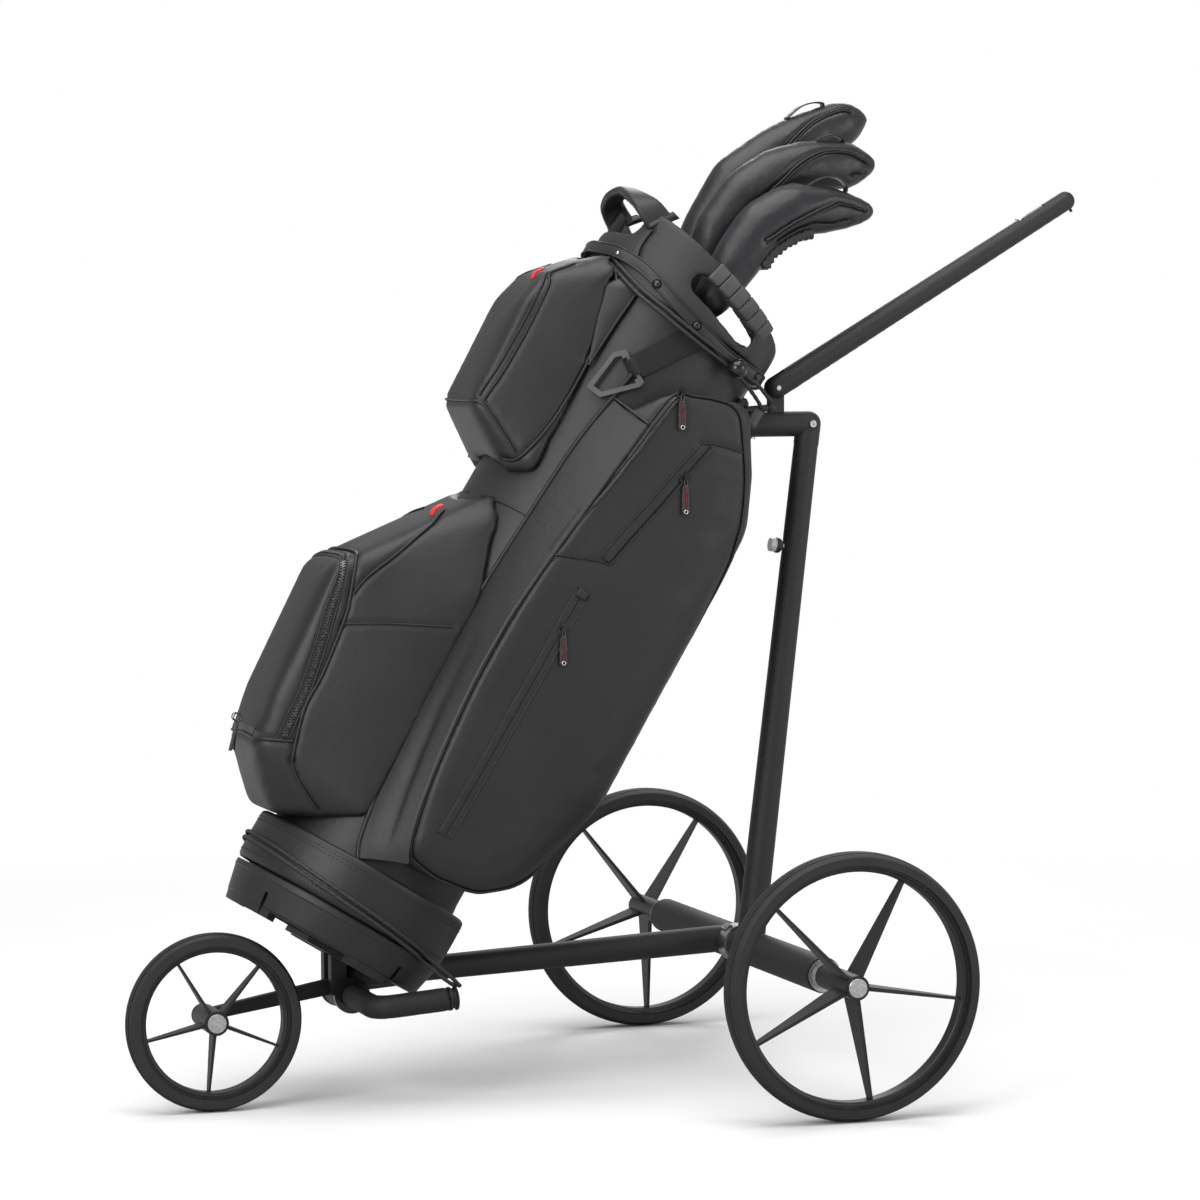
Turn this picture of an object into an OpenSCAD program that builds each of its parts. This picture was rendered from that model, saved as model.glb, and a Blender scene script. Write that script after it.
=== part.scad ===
// Three-wheel golf trolley carrying a strapped-on cart bag with three covered clubs.
// Millimetres. +Z is up, +X points to the rear (the handle side), -Y is the near side.
// The origin lies on the ground, under the middle of the whole object's outline box.

/* [Wheels] */
// Outside diameter of a rear tyre
rear_wheel_d = 300; // [270:5:320]
// Width of a rear tyre
rear_tyre_w = 35; // [28:1:40]
// Outside diameter of the front tyre
front_wheel_d = 202; // [180:2:220]
// Width of the front tyre
front_tyre_w = 29; // [24:1:32]
// Distance between the middle planes of the rear wheels
track = 704; // [660:2:760]
// Distance from the rear axle to the front axle
wheelbase = 650; // [620:5:700]
// Number of blade spokes in each wheel
spoke_count = 5; // [4:1:7]
// Radial height of a tyre
tyre_h = 14; // [11:0.5:18]
// Radial height of a rim
rim_h = 8; // [6:0.5:11]
// Diameter of a wheel hub
hub_d = 28; // [26:0.5:32]
// Diameter of the shaft a wheel runs on
shaft_d = 12; // [10:0.5:14]
// Diameter of a hub release button
button_d = 23; // [18:0.5:24]
// How far a hub release button is pressed
button_travel = 3; // [2:0.5:4]

/* [Frame] */
// Diameter of the rear axle tube
axle_tube_d = 41; // [38:0.5:44]
// Distance between the ends of the two axle tubes
axle_tube_l = 530; // [490:2:560]
// Wall of the axle, keel and upright tubes
tube_wall = 2; // [1.5:0.25:3]
// Width of the clamping ring that joins the axle halves
ring_w = 22; // [16:1:26]
// Thickness of the clamping ring
ring_t = 2.5; // [2:0.25:4]
// Diameter of the keel tube at the axle
keel_d = 32; // [28:0.5:36]
// Diameter of the keel tube at its front end
keel_tip_d = 28; // [25:0.5:31]
// Diameter of the upright at its foot
upright_d = 33.4; // [30:0.2:36]
// Diameter of the upright at its top
upright_top_d = 28.6; // [26:0.2:29.4]
// Height of the head tube's middle over the ground
head_z = 764; // [750:2:778]
// How far the upright leans to the rear at the head tube
head_x = 75; // [68:1:82]
// Diameter of the head tube
head_d = 29.5; // [29.5:0.5:32]
// Diameter of the lock knob's cap
knob_d = 16; // [13:0.5:18]
// How far the lock knob is pulled
knob_travel = 5; // [3:0.5:6]

/* [Cradle] */
// Diameter of the cradle's steel tube
cradle_d = 20; // [17:0.5:22]
// Thickness of the foam on the cradle
foam_t = 3.5; // [2.5:0.25:4]
// Distance between the middles of the cradle's two arms
cradle_w = 200; // [196:2:216]
// Length of a cradle arm from the cross tube
cradle_arm = 86; // [76:1:92]

/* [Handle] */
// Length of the handle from its hinge to the middle of its round end
handle_l = 430; // [380:5:470]
// Diameter of the handle at the hinge
handle_d = 27; // [25:0.5:28.5]
// Diameter of the handle at its end
handle_end_d = 23; // [21:0.5:25]
// Angle of the handle over the level
handle_tilt = 30.6; // [26:0.2:34]
// Thickness of the hinge tongue
tongue_t = 10; // [8:0.5:12]
// Diameter of the hinge pin
hinge_pin_d = 6; // [5:0.5:7]

/* [Bag] */
// Angle of the bag from the upright position
bag_lean = 31.4; // [30.4:0.2:32]
// Outside diameter of the bag's tube
bag_d = 232; // [226:1:236]
// Wall of the bag's tube
bag_wall = 3; // [2:0.25:4]
// Outside diameter of the leather band over the base
band_d = 264; // [258:1:268]
// Diameter of the moulded base where it meets the band
base_d = 260; // [254:1:264]
// Height of the moulded base
base_h = 38; // [34:1:42]
// Outside diameter of the padded collar
collar_d = 246; // [242:1:250]
// Wall of the padded collar
collar_wall = 16; // [12:0.5:18]
// Distance along the bag from its base to the middle of the rim
rim_s = 886; // [878:1:896]
// Thickness of a divider bar
divider_t = 6; // [4:0.5:8]
// Distance of a side pocket's flat face from the middle of the bag
side_face = 150; // [146:1:154]

/* [Clubs] */
// Distance between neighbouring clubs
club_pitch = 62; // [60:1:64]
// Diameter of a club shaft
club_shaft_d = 9.4; // [8:0.2:11]
// Diameter of a club grip
club_grip_d = 25; // [22:0.5:27]
// Width of a head cover
cover_w = 56; // [50:1:58]

/* [Hidden] */

// Facets of true round surfaces, and of hulled soft shapes
$fn = 48;
soft_fn = 20;
// Clearance all round a shaft that turns or slides in a bore
run_gap = 0.05;
// Clearance between soft pieces and their neighbours
soft_gap = 0.3;
// Overshoot of a cutting shape past the face it cuts
cut = 1;

rear_r = rear_wheel_d / 2;
front_r = front_wheel_d / 2;
shaft_r = shaft_d / 2;
rear_y = track / 2;
axle_r = axle_tube_d / 2;
axle_end = axle_tube_l / 2;

// Side-to-side places: split of the axle, keel, upright and front wheel
split_y = 6;
keel_y = 36;
upright_y = -30;
front_y = -47;

// Handle hinge, measured from the axle, and the reach of the handle behind the axle
hinge_x = head_x - 41;
hinge_z = head_z + 42.4;
handle_end_x = hinge_x + handle_l * cos(handle_tilt) + handle_end_d / 2;

// Place of the rear axle that centres the outline box on the origin
axle_x = (wheelbase + front_r - handle_end_x) / 2;
front_x = axle_x - wheelbase;

// Cradle: middle of the cross tube, slope of the arms, bend of the elbows
cradle_x = axle_x - 475;
cradle_z = 114;
cradle_slope = 4.4;
elbow_r = 20;
foam_r = cradle_d / 2 + foam_t;

// Keel: height of its middle at the axle and over the cross tube
keel_rear_z = rear_r + 3;
keel_front_z = cradle_z + 17;
keel_l = axle_x - cradle_x;
keel_fall = atan((keel_rear_z - keel_front_z) / keel_l);
clamp_r = foam_r + 6;
clamp_w = 52;
// Room round the keel in the bag's notch, and the wall of that notch
notch_gap = 1.5;
notch_wall = 3;

// Bag frame: its Z runs up the bag's axis and its X points to the back of the bag
bag_x = axle_x - 513;
bag_z = 178;
bag_r = bag_d / 2;
shell_r = bag_r - bag_wall;
band_r = band_d / 2;
base_r = base_d / 2;
base_foot_r = base_r - 9;
collar_r = collar_d / 2;
floor_z = 10;
band_top = base_h + 62;
collar_low = rim_s - 72;
scoop_s = rim_s - 9;
scoop_w = 108;
rim_fall = 15.6;
club_x = 8;

// Top ends of the three shafts, inside their covers
club_top = [1060, 1020, 980];

// Middle line of each cover: [back, height, radius]
cover_path = [
    [[8, 862, 25], [-3, 955, 31], [-1, 1020, 33], [26, 1078, 33], [46, 1108, 33], [78, 1150, 30],
        [96, 1169, 13]],
    [[8, 862, 25], [-8, 945, 31], [0, 1000, 33], [20, 1040, 33], [50, 1070, 33], [88, 1096, 30],
        [112, 1112, 15]],
    [[8, 862, 25], [12, 925, 32], [18, 965, 34], [38, 1000, 34], [78, 1026, 29], [108, 1043, 19],
        [121, 1051, 13]],
];

// Button and hub sizes along the axle
hub_out = 17;
front_hub_in = 44;
cap_l = 6;
flange_t = 5;
hub_gap = 2;

// Middle lines of the elastic cords on the bag: [angle round from the front, height]
upper_route = [[0, 850], [15, 846], [32, 832], [50, 818], [67, 810], [91, 802], [116, 800],
    [128, 798]];
lower_route = [[0, 66], [24, 64], [48, 59], [72, 54], [96, 49], [118, 44], [130, 40]];
cord_d = 5;
cord_pitch = 7;

// Near side pocket: [forward, sideways from the flat face, height, radius] of its corners
side_corners = [[40, 46, 116, 6], [62, 58, 330, 6], [66, 56, 520, 6], [64, 58, 640, 6],
    [-2, 0, 140, 9], [18, 0, 225, 9], [29, 0, 330, 9], [29, 0, 450, 9], [18, 0, 560, 9],
    [-4, 0, 732, 8], [-36, 0, 136, 16], [-84, 0, 147, 20], [-112, 0, 180, 28],
    [-126, 0, 235, 32],
    [-142, 0, 290, 32], [-138, 0, 500, 32], [-134, 0, 636, 32], [-114, 0, 690, 26],
    [-82, 0, 752, 16], [-100, 70, 240, 18], [-100, 70, 630, 18]];

function unit(v) = v / norm(v);
function around(angle, r, height) = [-r * cos(angle), -r * sin(angle), height];
function mix(a, b, t) = a + (b - a) * t;

// A smooth curve through hand-chosen points, with a given number of steps between them
function bend(a, b, c, d, t) = 0.5 * (2 * b + (c - a) * t
    + (2 * a - 5 * b + 4 * c - d) * t * t + (3 * b - a - 3 * c + d) * t * t * t);
function smooth(p, steps) = let (m = len(p) - 1) concat(
    [for (i = [0:m - 1], j = [0:steps - 1])
        bend(p[max(i - 1, 0)], p[i], p[i + 1], p[min(i + 2, m)], j / steps)], [p[m]]);

// One ring of a swept tube, square to the path
function heading(p, i) = unit(p[min(i + 1, len(p) - 1)] - p[max(i - 1, 0)]);
function tube_ring(p, i, r, sides, up) = let (t = heading(p, i), a = unit(cross(t, up)), b = cross(a, t))
    [for (k = [0:sides - 1]) p[i] + r * (cos(360 * k / sides) * a + sin(360 * k / sides) * b)];

// A round tube swept along a path
module swept_tube(p, d, sides = 8, up = [0, 0, 1]) {
    rings = [for (i = [0:len(p) - 1]) each tube_ring(p, i, d / 2, sides, up)];
    last = (len(p) - 1) * sides;
    walls = [for (i = [0:len(p) - 2], k = [0:sides - 1]) let (n = (k + 1) % sides, a = i * sides)
        each [[a + k, a + n, a + sides + n], [a + k, a + sides + n, a + sides + k]]];
    ends = [[for (k = [0:sides - 1]) sides - 1 - k], [for (k = [0:sides - 1]) last + k]];
    polyhedron(rings, concat(walls, ends), convexity = 6);
}

// A round bar or tapered bar between two points
module bar(a, b, r1, r2) {
    v = b - a;
    translate(a) rotate([0, acos(v[2] / norm(v)), atan2(v[1], v[0])])
        cylinder(h = norm(v), r1 = r1, r2 = r2);
}

// A cylinder along Y between two places
module y_bar(x, z, y1, y2, r) {
    translate([x, min(y1, y2), z]) rotate([-90, 0, 0]) cylinder(h = abs(y2 - y1), r = r);
}

module in_bag() {
    translate([bag_x, 0, bag_z]) rotate([0, bag_lean, 0]) children();
}

// Frame of the slanted rim: its Z is square to the rim
module at_rim() {
    in_bag() translate([0, 0, rim_s]) rotate([0, rim_fall, 0]) children();
}

// Frame of the handle: its Z runs up the handle from the hinge
module in_handle() {
    translate([axle_x + hinge_x, upright_y, hinge_z]) rotate([0, 90 - handle_tilt, 0]) children();
}

// ---------------------------------------------------------------- wheels

// Wheel frame: Z points outboard along the axle, the tyre's middle plane is at Z 0
module at_wheel(which) {
    if (which == 0) translate([axle_x, -rear_y, rear_r]) rotate([90, 0, 0]) children();
    if (which == 1) translate([axle_x, rear_y, rear_r]) rotate([-90, 0, 0]) children();
    if (which == 2) translate([front_x, front_y, front_r]) rotate([90, 0, 0]) children();
}

function wheel_r(which) = which == 2 ? front_r : rear_r;
function tyre_w(which) = which == 2 ? front_tyre_w : rear_tyre_w;
function hub_in(which) = which == 2 ? front_hub_in : rear_y - axle_end - 2 * flange_t - hub_gap;
function spoke_turn(which) = which == 0 ? 63 : which == 1 ? -56 : 49;

// Tyre: crowned tread with two grooves each side of the middle
module tyre(which) {
    r = wheel_r(which);
    w = tyre_w(which);
    crown = w * 0.9;
    color([0.09, 0.09, 0.095]) at_wheel(which) rotate_extrude($fn = 96) difference() {
        intersection() {
            translate([r - tyre_h, -w / 2]) square([tyre_h, w]);
            translate([r - crown, 0]) circle(r = crown);
        }
        for (side = [-1, 1], place = [0.12, 0.27])
            translate([r - (place > 0.2 ? 1.7 : 0.2), side * place * w]) circle(r = 1, $fn = 16);
    }
}

// Rim: stepped hoop, tapered blade spokes and a long hub, moulded in one piece
module rim(which) {
    r = wheel_r(which) - tyre_h;
    inner = r - rim_h;
    lip = tyre_w(which) * 0.37;
    bed = tyre_w(which) * 0.26;
    color([0.11, 0.11, 0.115]) at_wheel(which) difference() {
        union() {
            rotate_extrude($fn = 96) polygon([[r, -lip], [r, lip], [r - 3, lip], [r - 4, bed + 1],
                [inner + 1, bed], [inner, bed - 1], [inner, 1 - bed], [inner + 1, -bed],
                [r - 4, -bed - 1], [r - 3, -lip]]);
            translate([0, 0, -hub_in(which)]) cylinder(h = hub_in(which) + hub_out - 2, r = hub_d / 2);
            translate([0, 0, hub_out - 2]) cylinder(h = 2, r1 = hub_d / 2, r2 = hub_d / 2 - 1);
            for (i = [0:spoke_count - 1]) rotate(spoke_turn(which) + i * 360 / spoke_count)
                spoke(hub_d / 2 - 2, inner + 1, which == 2 ? 0.8 : 1, which == 2 ? 10 : 27);
        }
        translate([0, 0, -hub_in(which) - cut]) cylinder(h = hub_in(which) + hub_out + 2 * cut,
            r = shaft_r + run_gap);
        translate([0, 0, hub_out - cap_l - button_travel - cut])
            cylinder(h = cap_l + button_travel + 2 * cut, r = button_d / 2 + run_gap);
    }
}

// One spoke: a thin blade, deep at the hub and slim at the rim
module spoke(r0, r1, wide, root_in) {
    intersection() {
        linear_extrude(height = 120, center = true) polygon([[r0, -2.4 * wide], [r1, -1.5 * wide],
            [r1, 1.5 * wide], [r0, 2.4 * wide]]);
        rotate([90, 0, 0]) linear_extrude(height = 40, center = true)
            polygon([[r0, -root_in], [r1, -6 * wide], [r1, 6 * wide], [r0, hub_out - 6]]);
    }
}

// Release button: domed cap that slides in the hub's counterbore
module button(which) {
    color([0.75, 0.75, 0.76]) at_wheel(which) translate([0, 0, hub_out - cap_l])
        rotate_extrude() polygon([[0, 0], [button_d / 2, 0], [button_d / 2, cap_l - 1],
            [button_d / 2 - 1, cap_l], [0, cap_l + 0.6]]);
}

// ---------------------------------------------------------------- axle and frame tubes

module axle_half(y1, y2) {
    color([0.13, 0.13, 0.135]) difference() {
        y_bar(axle_x, rear_r, y1, y2, axle_r);
        y_bar(axle_x, rear_r, y1 - cut, y2 + cut, axle_r - tube_wall);
    }
}

module axle_tube_near() {
    axle_half(-axle_end, split_y);
}

module axle_tube_far() {
    axle_half(split_y, axle_end);
}

// Ring that clamps the two axle halves, with a screw lug
module axle_ring() {
    color([0.75, 0.75, 0.76]) difference() {
        union() {
            y_bar(axle_x, rear_r, split_y - ring_w / 2, split_y + ring_w / 2, axle_r + ring_t);
            translate([axle_x - 15, split_y - ring_w / 2 + 3, rear_r + axle_r - 9])
                rotate([0, -38, 0]) cube([9, ring_w - 6, 9]);
        }
        y_bar(axle_x, rear_r, -ring_w, ring_w * 2, axle_r);
    }
}

// Stepped end pieces: plug in the tube, two shoulders and the wheel's shaft
module axle_ends() {
    color([0.75, 0.75, 0.76]) for (side = [-1, 1])
        translate([axle_x, side * axle_end, rear_r]) rotate([-90 * side, 0, 0]) {
            translate([0, 0, -14]) cylinder(h = 14, r = axle_r - tube_wall);
            cylinder(h = flange_t, r = axle_r - 1.5);
            cylinder(h = 2 * flange_t, r = axle_r - 6.5);
            cylinder(h = rear_y - axle_end + hub_out - cap_l - button_travel - 1, r = shaft_r);
        }
}

// Keel: tapered tube from the axle to the top of the cradle clamp
module keel_solid(grow, front) {
    translate([axle_x, keel_y, keel_rear_z]) rotate([0, -90 - keel_fall, 0])
        cylinder(h = front, r1 = keel_d / 2 + grow, r2 = mix(keel_d, keel_tip_d, front / keel_l) / 2 + grow);
}

module keel_tube() {
    color([0.13, 0.13, 0.135]) difference() {
        keel_solid(0, keel_l + 4);
        keel_solid(-tube_wall, keel_l + 1);
        y_bar(axle_x, rear_r, 0, 2 * keel_y, axle_r);
        y_bar(cradle_x, cradle_z, 0, 2 * keel_y, clamp_r);
    }
}

// Clamp that grips the cradle's cross tube under the front end of the keel
module keel_clamp() {
    color([0.1, 0.1, 0.1]) difference() {
        y_bar(cradle_x, cradle_z, keel_y - clamp_w / 2, keel_y + clamp_w / 2, clamp_r);
        y_bar(cradle_x, cradle_z, keel_y - clamp_w, keel_y + clamp_w, cradle_d / 2);
    }
}

// Raised bands at both ends of the clamp
module cradle_rings() {
    color([0.16, 0.16, 0.165]) for (side = [-1, 1]) difference() {
        y_bar(cradle_x, cradle_z, keel_y + side * clamp_w / 2, keel_y + side * (clamp_w / 2 + 8), clamp_r + 1.5);
        y_bar(cradle_x, cradle_z, keel_y - clamp_w, keel_y + clamp_w, cradle_d / 2);
    }
}

// Front arm: flat tapered bar from the clamp to the far side of the front wheel
arm_a = [cradle_x - 14, keel_y, cradle_z + 7.5];
arm_b = [front_x, front_y + front_hub_in + 6.5, front_r];
arm_dir = arm_b - arm_a;
arm_l = norm(arm_dir);
arm_turn = atan2(arm_dir[1], arm_dir[0]);
arm_fall = -asin(arm_dir[2] / arm_l);
module front_arm() {
    color([0.12, 0.12, 0.125]) difference() {
        union() {
            translate(arm_a) rotate([0, 0, arm_turn]) rotate([0, arm_fall, 0]) rotate([90, 0, 0])
                linear_extrude(height = 9, center = true) {
                    polygon([[0, -9], [arm_l, -6.5], [arm_l, 6.5], [0, 9]]);
                    translate([arm_l, 0]) circle(r = 6.5);
                }
            y_bar(arm_b[0], arm_b[2], arm_b[1] - 4.5, arm_b[1] + 4.5, 13);
        }
        y_bar(arm_b[0], arm_b[2], arm_b[1] - 12, arm_b[1] + 12, shaft_r);
        y_bar(arm_b[0], arm_b[2], arm_b[1] - 12, arm_b[1] - 4.5, hub_d / 2);
        y_bar(arm_b[0], arm_b[2], arm_b[1] + 4.5, arm_b[1] + 12, hub_d / 2);
        y_bar(cradle_x, cradle_z, keel_y - clamp_w, keel_y + clamp_w, clamp_r);
    }
}

// Stub axle of the front wheel with its bright washer and a bolt head on the far side
module front_axle() {
    color([0.75, 0.75, 0.76]) {
        y_bar(front_x, front_r, front_y - hub_out + cap_l + button_travel + 1, arm_b[1] + 4.5, shaft_r);
        y_bar(front_x, front_r, arm_b[1] - 4.5, front_y + front_hub_in + 0.3, hub_d / 2 - 1);
        y_bar(front_x, front_r, arm_b[1] + 4.5, arm_b[1] + 8.5, 9);
    }
}

// Upright: tapered tube from the near axle half to the head tube
foot = [axle_x, upright_y, rear_r];
head = [axle_x + head_x, upright_y, head_z];
upright_l = norm(head - foot);
upright_lean = atan(head_x / (head_z - rear_r));
stub_l = 24;
module upright() {
    color([0.13, 0.13, 0.135]) difference() {
        translate(foot) rotate([0, upright_lean, 0]) cylinder(h = upright_l - stub_l,
            r1 = upright_d / 2, r2 = upright_top_d / 2);
        translate(foot) rotate([0, upright_lean, 0]) translate([0, 0, -cut])
            cylinder(h = upright_l, r1 = upright_d / 2 - tube_wall, r2 = upright_top_d / 2 - tube_wall);
        y_bar(axle_x, rear_r, upright_y - 40, upright_y + 40, axle_r);
        at_knob() translate([0, 0, -12]) cylinder(h = 60, r = 4 + run_gap);
    }
}

// Frame of the lock knob: Z points forward, out of the upright
knob_z = 473;
function upright_r(h) = mix(upright_d, upright_top_d, h / (upright_l - stub_l)) / 2;
module at_knob() {
    translate(foot) rotate([0, upright_lean, 0]) translate([-upright_r(knob_z), 0, knob_z])
        rotate([0, -90, 0]) children();
}

module lock_collar() {
    color([0.1, 0.1, 0.1]) at_knob() difference() {
        translate([0, 0, -3]) cylinder(h = 12, r1 = knob_d / 2 + 1, r2 = knob_d / 2 + 1);
        translate([0, 0, -12]) rotate([0, 90, 0]) translate([-upright_r(knob_z) + 12, 0, 0])
            cylinder(h = 60, r = upright_r(knob_z) + 0.1, center = true);
        translate([0, 0, -5]) cylinder(h = 20, r = 4 + run_gap);
    }
}

// Knurled pull knob with its locking stem
module lock_knob() {
    color([0.75, 0.75, 0.76]) at_knob() {
        translate([0, 0, -8]) cylinder(h = 18, r = 4);
        translate([0, 0, 9.3]) difference() {
            cylinder(h = 7, r = knob_d / 2);
            for (i = [0:17]) rotate(i * 20) translate([knob_d / 2 + 0.6, 0, -1]) cylinder(h = 6.5, r = 1.1, $fn = 16);
        }
    }
}

// Head tube: level tube with a rounded corner, a socket for the upright and the hinge tongue
tube_front = 96;
module head_tube() {
    color([0.13, 0.13, 0.135]) difference() {
        union() {
            translate([head[0] - tube_front, upright_y, head_z]) rotate([0, 90, 0])
                cylinder(h = tube_front, r = head_d / 2);
            translate(head) sphere(r = head_d / 2);
            translate(head) rotate([0, 180 + upright_lean, 0]) cylinder(h = stub_l, r = head_d / 2);
            translate(head) rotate([0, 180 + upright_lean, 0])
                cylinder(h = stub_l + 16, r = upright_top_d / 2 - tube_wall - run_gap);
            translate([axle_x + hinge_x, upright_y, hinge_z]) rotate([90, 0, 0]) {
                cylinder(h = tongue_t, r = 9, center = true);
                translate([-9, head_z - hinge_z, -tongue_t / 2]) cube([18, hinge_z - head_z, tongue_t]);
            }
        }
        in_bag() cylinder(h = rim_s, r = bracket_r + bracket_t);
        y_bar(axle_x + hinge_x, hinge_z, upright_y - tongue_t, upright_y + tongue_t, hinge_pin_d / 2);
        y_bar(head[0], head[2], upright_y - head_d, upright_y + head_d, 3);
        translate([brass_x, upright_y, head_z - head_d]) cylinder(h = head_d / 2 + 4, r = 2.5);
    }
}

// Screws: corner screw, axle ring screw, brass screw under the head tube, cradle cap screws
brass_x = axle_x + 4;
module frame_screws() {
    color([0.78, 0.78, 0.79]) {
        for (side = [-1, 1]) hex_screw([head[0], upright_y + side * head_d / 2, head[2]], side, 5, 3, 12);
        translate([axle_x - 14, split_y, rear_r + axle_r - 1]) rotate([0, -38, 0]) cylinder(h = 5, r = 3);
    }
    color([0.8, 0.6, 0.25]) translate([brass_x, upright_y, head_z - head_d / 2 - 2.2]) {
        cylinder(h = 2.2, r = 4);
        cylinder(h = 8, r = 2.5);
    }
}

// Button-head screw with a hexagon socket, along Y
module hex_screw(at, side, head_r, shank_r, shank_l) {
    translate(at) rotate([-90 * side, 0, 0]) difference() {
        union() {
            translate([0, 0, -0.6]) cylinder(h = 2.8, r1 = head_r, r2 = head_r - 1);
            translate([0, 0, -shank_l]) cylinder(h = shank_l, r = shank_r);
        }
        translate([0, 0, 0.4]) cylinder(h = 4, r = 2, $fn = 6);
    }
}

// ---------------------------------------------------------------- cradle

// U-shaped run of the cradle, its arms pointing to the rear
module cradle_run(r, arm) {
    half = cradle_w / 2;
    translate([cradle_x, 0, cradle_z]) rotate([0, -cradle_slope, 0]) {
        rotate([90, 0, 0]) cylinder(h = cradle_w - 2 * elbow_r, r = r, center = true);
        for (side = [-1, 1]) {
            translate([elbow_r, side * (half - elbow_r), 0]) rotate(side > 0 ? 90 : 180)
                rotate_extrude(angle = 90) translate([elbow_r, 0]) circle(r = r);
            translate([elbow_r, side * half, 0]) rotate([0, 90, 0]) cylinder(h = arm - elbow_r, r = r);
        }
    }
}

module cradle_tube() {
    color([0.13, 0.13, 0.135]) cradle_run(cradle_d / 2, cradle_arm);
}

module cradle_foam() {
    color([0.1, 0.1, 0.1]) difference() {
        cradle_run(foam_r, cradle_arm - 2);
        cradle_run(cradle_d / 2, cradle_arm + 5);
        y_bar(cradle_x, cradle_z, keel_y - clamp_w / 2 - 8, keel_y + clamp_w / 2 + 8, foam_r + 2);
    }
}

// Plastic end caps with a waist that holds the elastic cord
module cradle_caps() {
    color([0.08, 0.08, 0.08]) translate([cradle_x, 0, cradle_z]) rotate([0, -cradle_slope, 0])
        for (side = [-1, 1]) translate([cradle_arm - 2, side * cradle_w / 2, 0]) rotate([0, 90, 0])
            rotate_extrude() difference() {
                polygon([[0, 2], [cradle_d / 2, 2], [cradle_d / 2, 0], [foam_r, 0], [foam_r, 3],
                    [foam_r - 2, 4.5], [foam_r - 2, 7], [foam_r + 0.5, 8.5], [foam_r, 10], [foam_r - 3, 11], [0, 11]]);
            }
}

// Plate under the bag's base, on two webs that stand on the clamp
module base_rest() {
    color([0.1, 0.1, 0.1]) difference() {
        union() {
            in_bag() translate([-26, -38, -7]) cube([68, 100, 7 - soft_gap]);
            for (side = [-1, 1]) translate([cradle_x - 22, keel_y + side * 16 - 7, cradle_z])
                cube([18, 14, 45]);
        }
        in_bag() translate([-100, -100, -soft_gap]) cube([200, 200, 60]);
        y_bar(cradle_x, cradle_z, -cradle_w / 2, cradle_w / 2, clamp_r);
        keel_solid(0, keel_l + 4);
    }
}

// ---------------------------------------------------------------- upper bracket and cords

bracket_r = bag_r + 4;
bracket_t = 5;
bracket_low = 742;
bracket_high = 784;

// Curved saddle behind the bag with a cord horn at each end
module bag_bracket() {
    color([0.11, 0.11, 0.115]) in_bag() {
        translate([0, 0, bracket_low]) rotate(-36) rotate_extrude(angle = 72)
            translate([bracket_r, 0]) square([bracket_t, bracket_high - bracket_low]);
        for (side = [-1, 1]) {
            bar([bracket_r - 12, side * 64, bracket_high - 11], [bracket_r + 16, side * 62, bracket_high + 9], 4, 4);
            translate([bracket_r + 16, side * 62, bracket_high + 9]) sphere(r = 6.5);
            translate([bracket_r + 4, side * 62, bracket_high - 22]) cylinder(h = 20, r = 6.5);
        }
        translate([bracket_r + bracket_t - 2, 0, bracket_low - 24]) cube([5, 14, 30]);
    }
}

// Rubber pad between the saddle and the bag
module bracket_pad() {
    color([0.25, 0.25, 0.26]) in_bag() translate([0, 0, bracket_low + 2]) rotate(-34)
        rotate_extrude(angle = 68) translate([bag_r, 0]) square([4, bracket_high - bracket_low - 4]);
}

// Round knob on the saddle's lower tab
module bracket_ball() {
    color([0.07, 0.07, 0.07]) in_bag() {
        translate([bracket_r + bracket_t + 3, 7, bracket_low - 16]) rotate([0, 90, 0]) cylinder(h = 6, r = 3);
        translate([bracket_r + bracket_t + 15, 7, bracket_low - 16]) sphere(r = 8);
    }
}

// Both elastic cords, each a pair of strands from one side of the bag to the other
module strand(route, r, shift, near_end) {
    side = [for (p = route) around(p[0], r, p[1] + shift)];
    half = concat(side, near_end);
    whole = concat([for (i = [len(half) - 1:-1:1]) [half[i][0], -half[i][1], half[i][2]]], half);
    in_bag() swept_tube(smooth(whole, 2), cord_d);
}

module upper_cord() {
    cord_r = collar_r + 1 + cord_d / 2 + soft_gap;
    horn = [bracket_r + 14, -62, bracket_high + 7];
    color([0.06, 0.06, 0.06]) for (s = [-1, 1])
        strand(upper_route, cord_r, s * cord_pitch / 2,
            [[104, -84, 796 + s * 6], horn + [-4, -4 * s - 4, 6 * s]]);
}

module lower_cord() {
    cord_r = band_r + cord_d / 2 + soft_gap + 0.5;
    color([0.06, 0.06, 0.06]) for (s = [-1, 1])
        strand(lower_route, cord_r, s * cord_pitch / 2, [[124, -106, 34 + s * 3], [138, -100 - 4 * s, 33.6]]);
}

// Ball toggle that draws the upper cord's strands together
module cord_toggle() {
    color([0.08, 0.08, 0.08]) in_bag() for (side = [-1, 1]) difference() {
        translate([58, side * (collar_r - 1), 799]) sphere(r = 11.5);
        cylinder(h = rim_s, r = collar_r + 1 + soft_gap);
        mirror([0, side > 0 ? 1 : 0, 0]) for (s = [-1, 1])
            swept_tube(smooth([for (p = upper_route) around(p[0], collar_r + 1 + cord_d / 2 + soft_gap,
                p[1] + s * cord_pitch / 2)], 2), cord_d + 0.2);
    }
}

// ---------------------------------------------------------------- handle

lever_s = 366;
function handle_r(s) = mix(handle_d, handle_end_d, s / handle_l) / 2;

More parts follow.
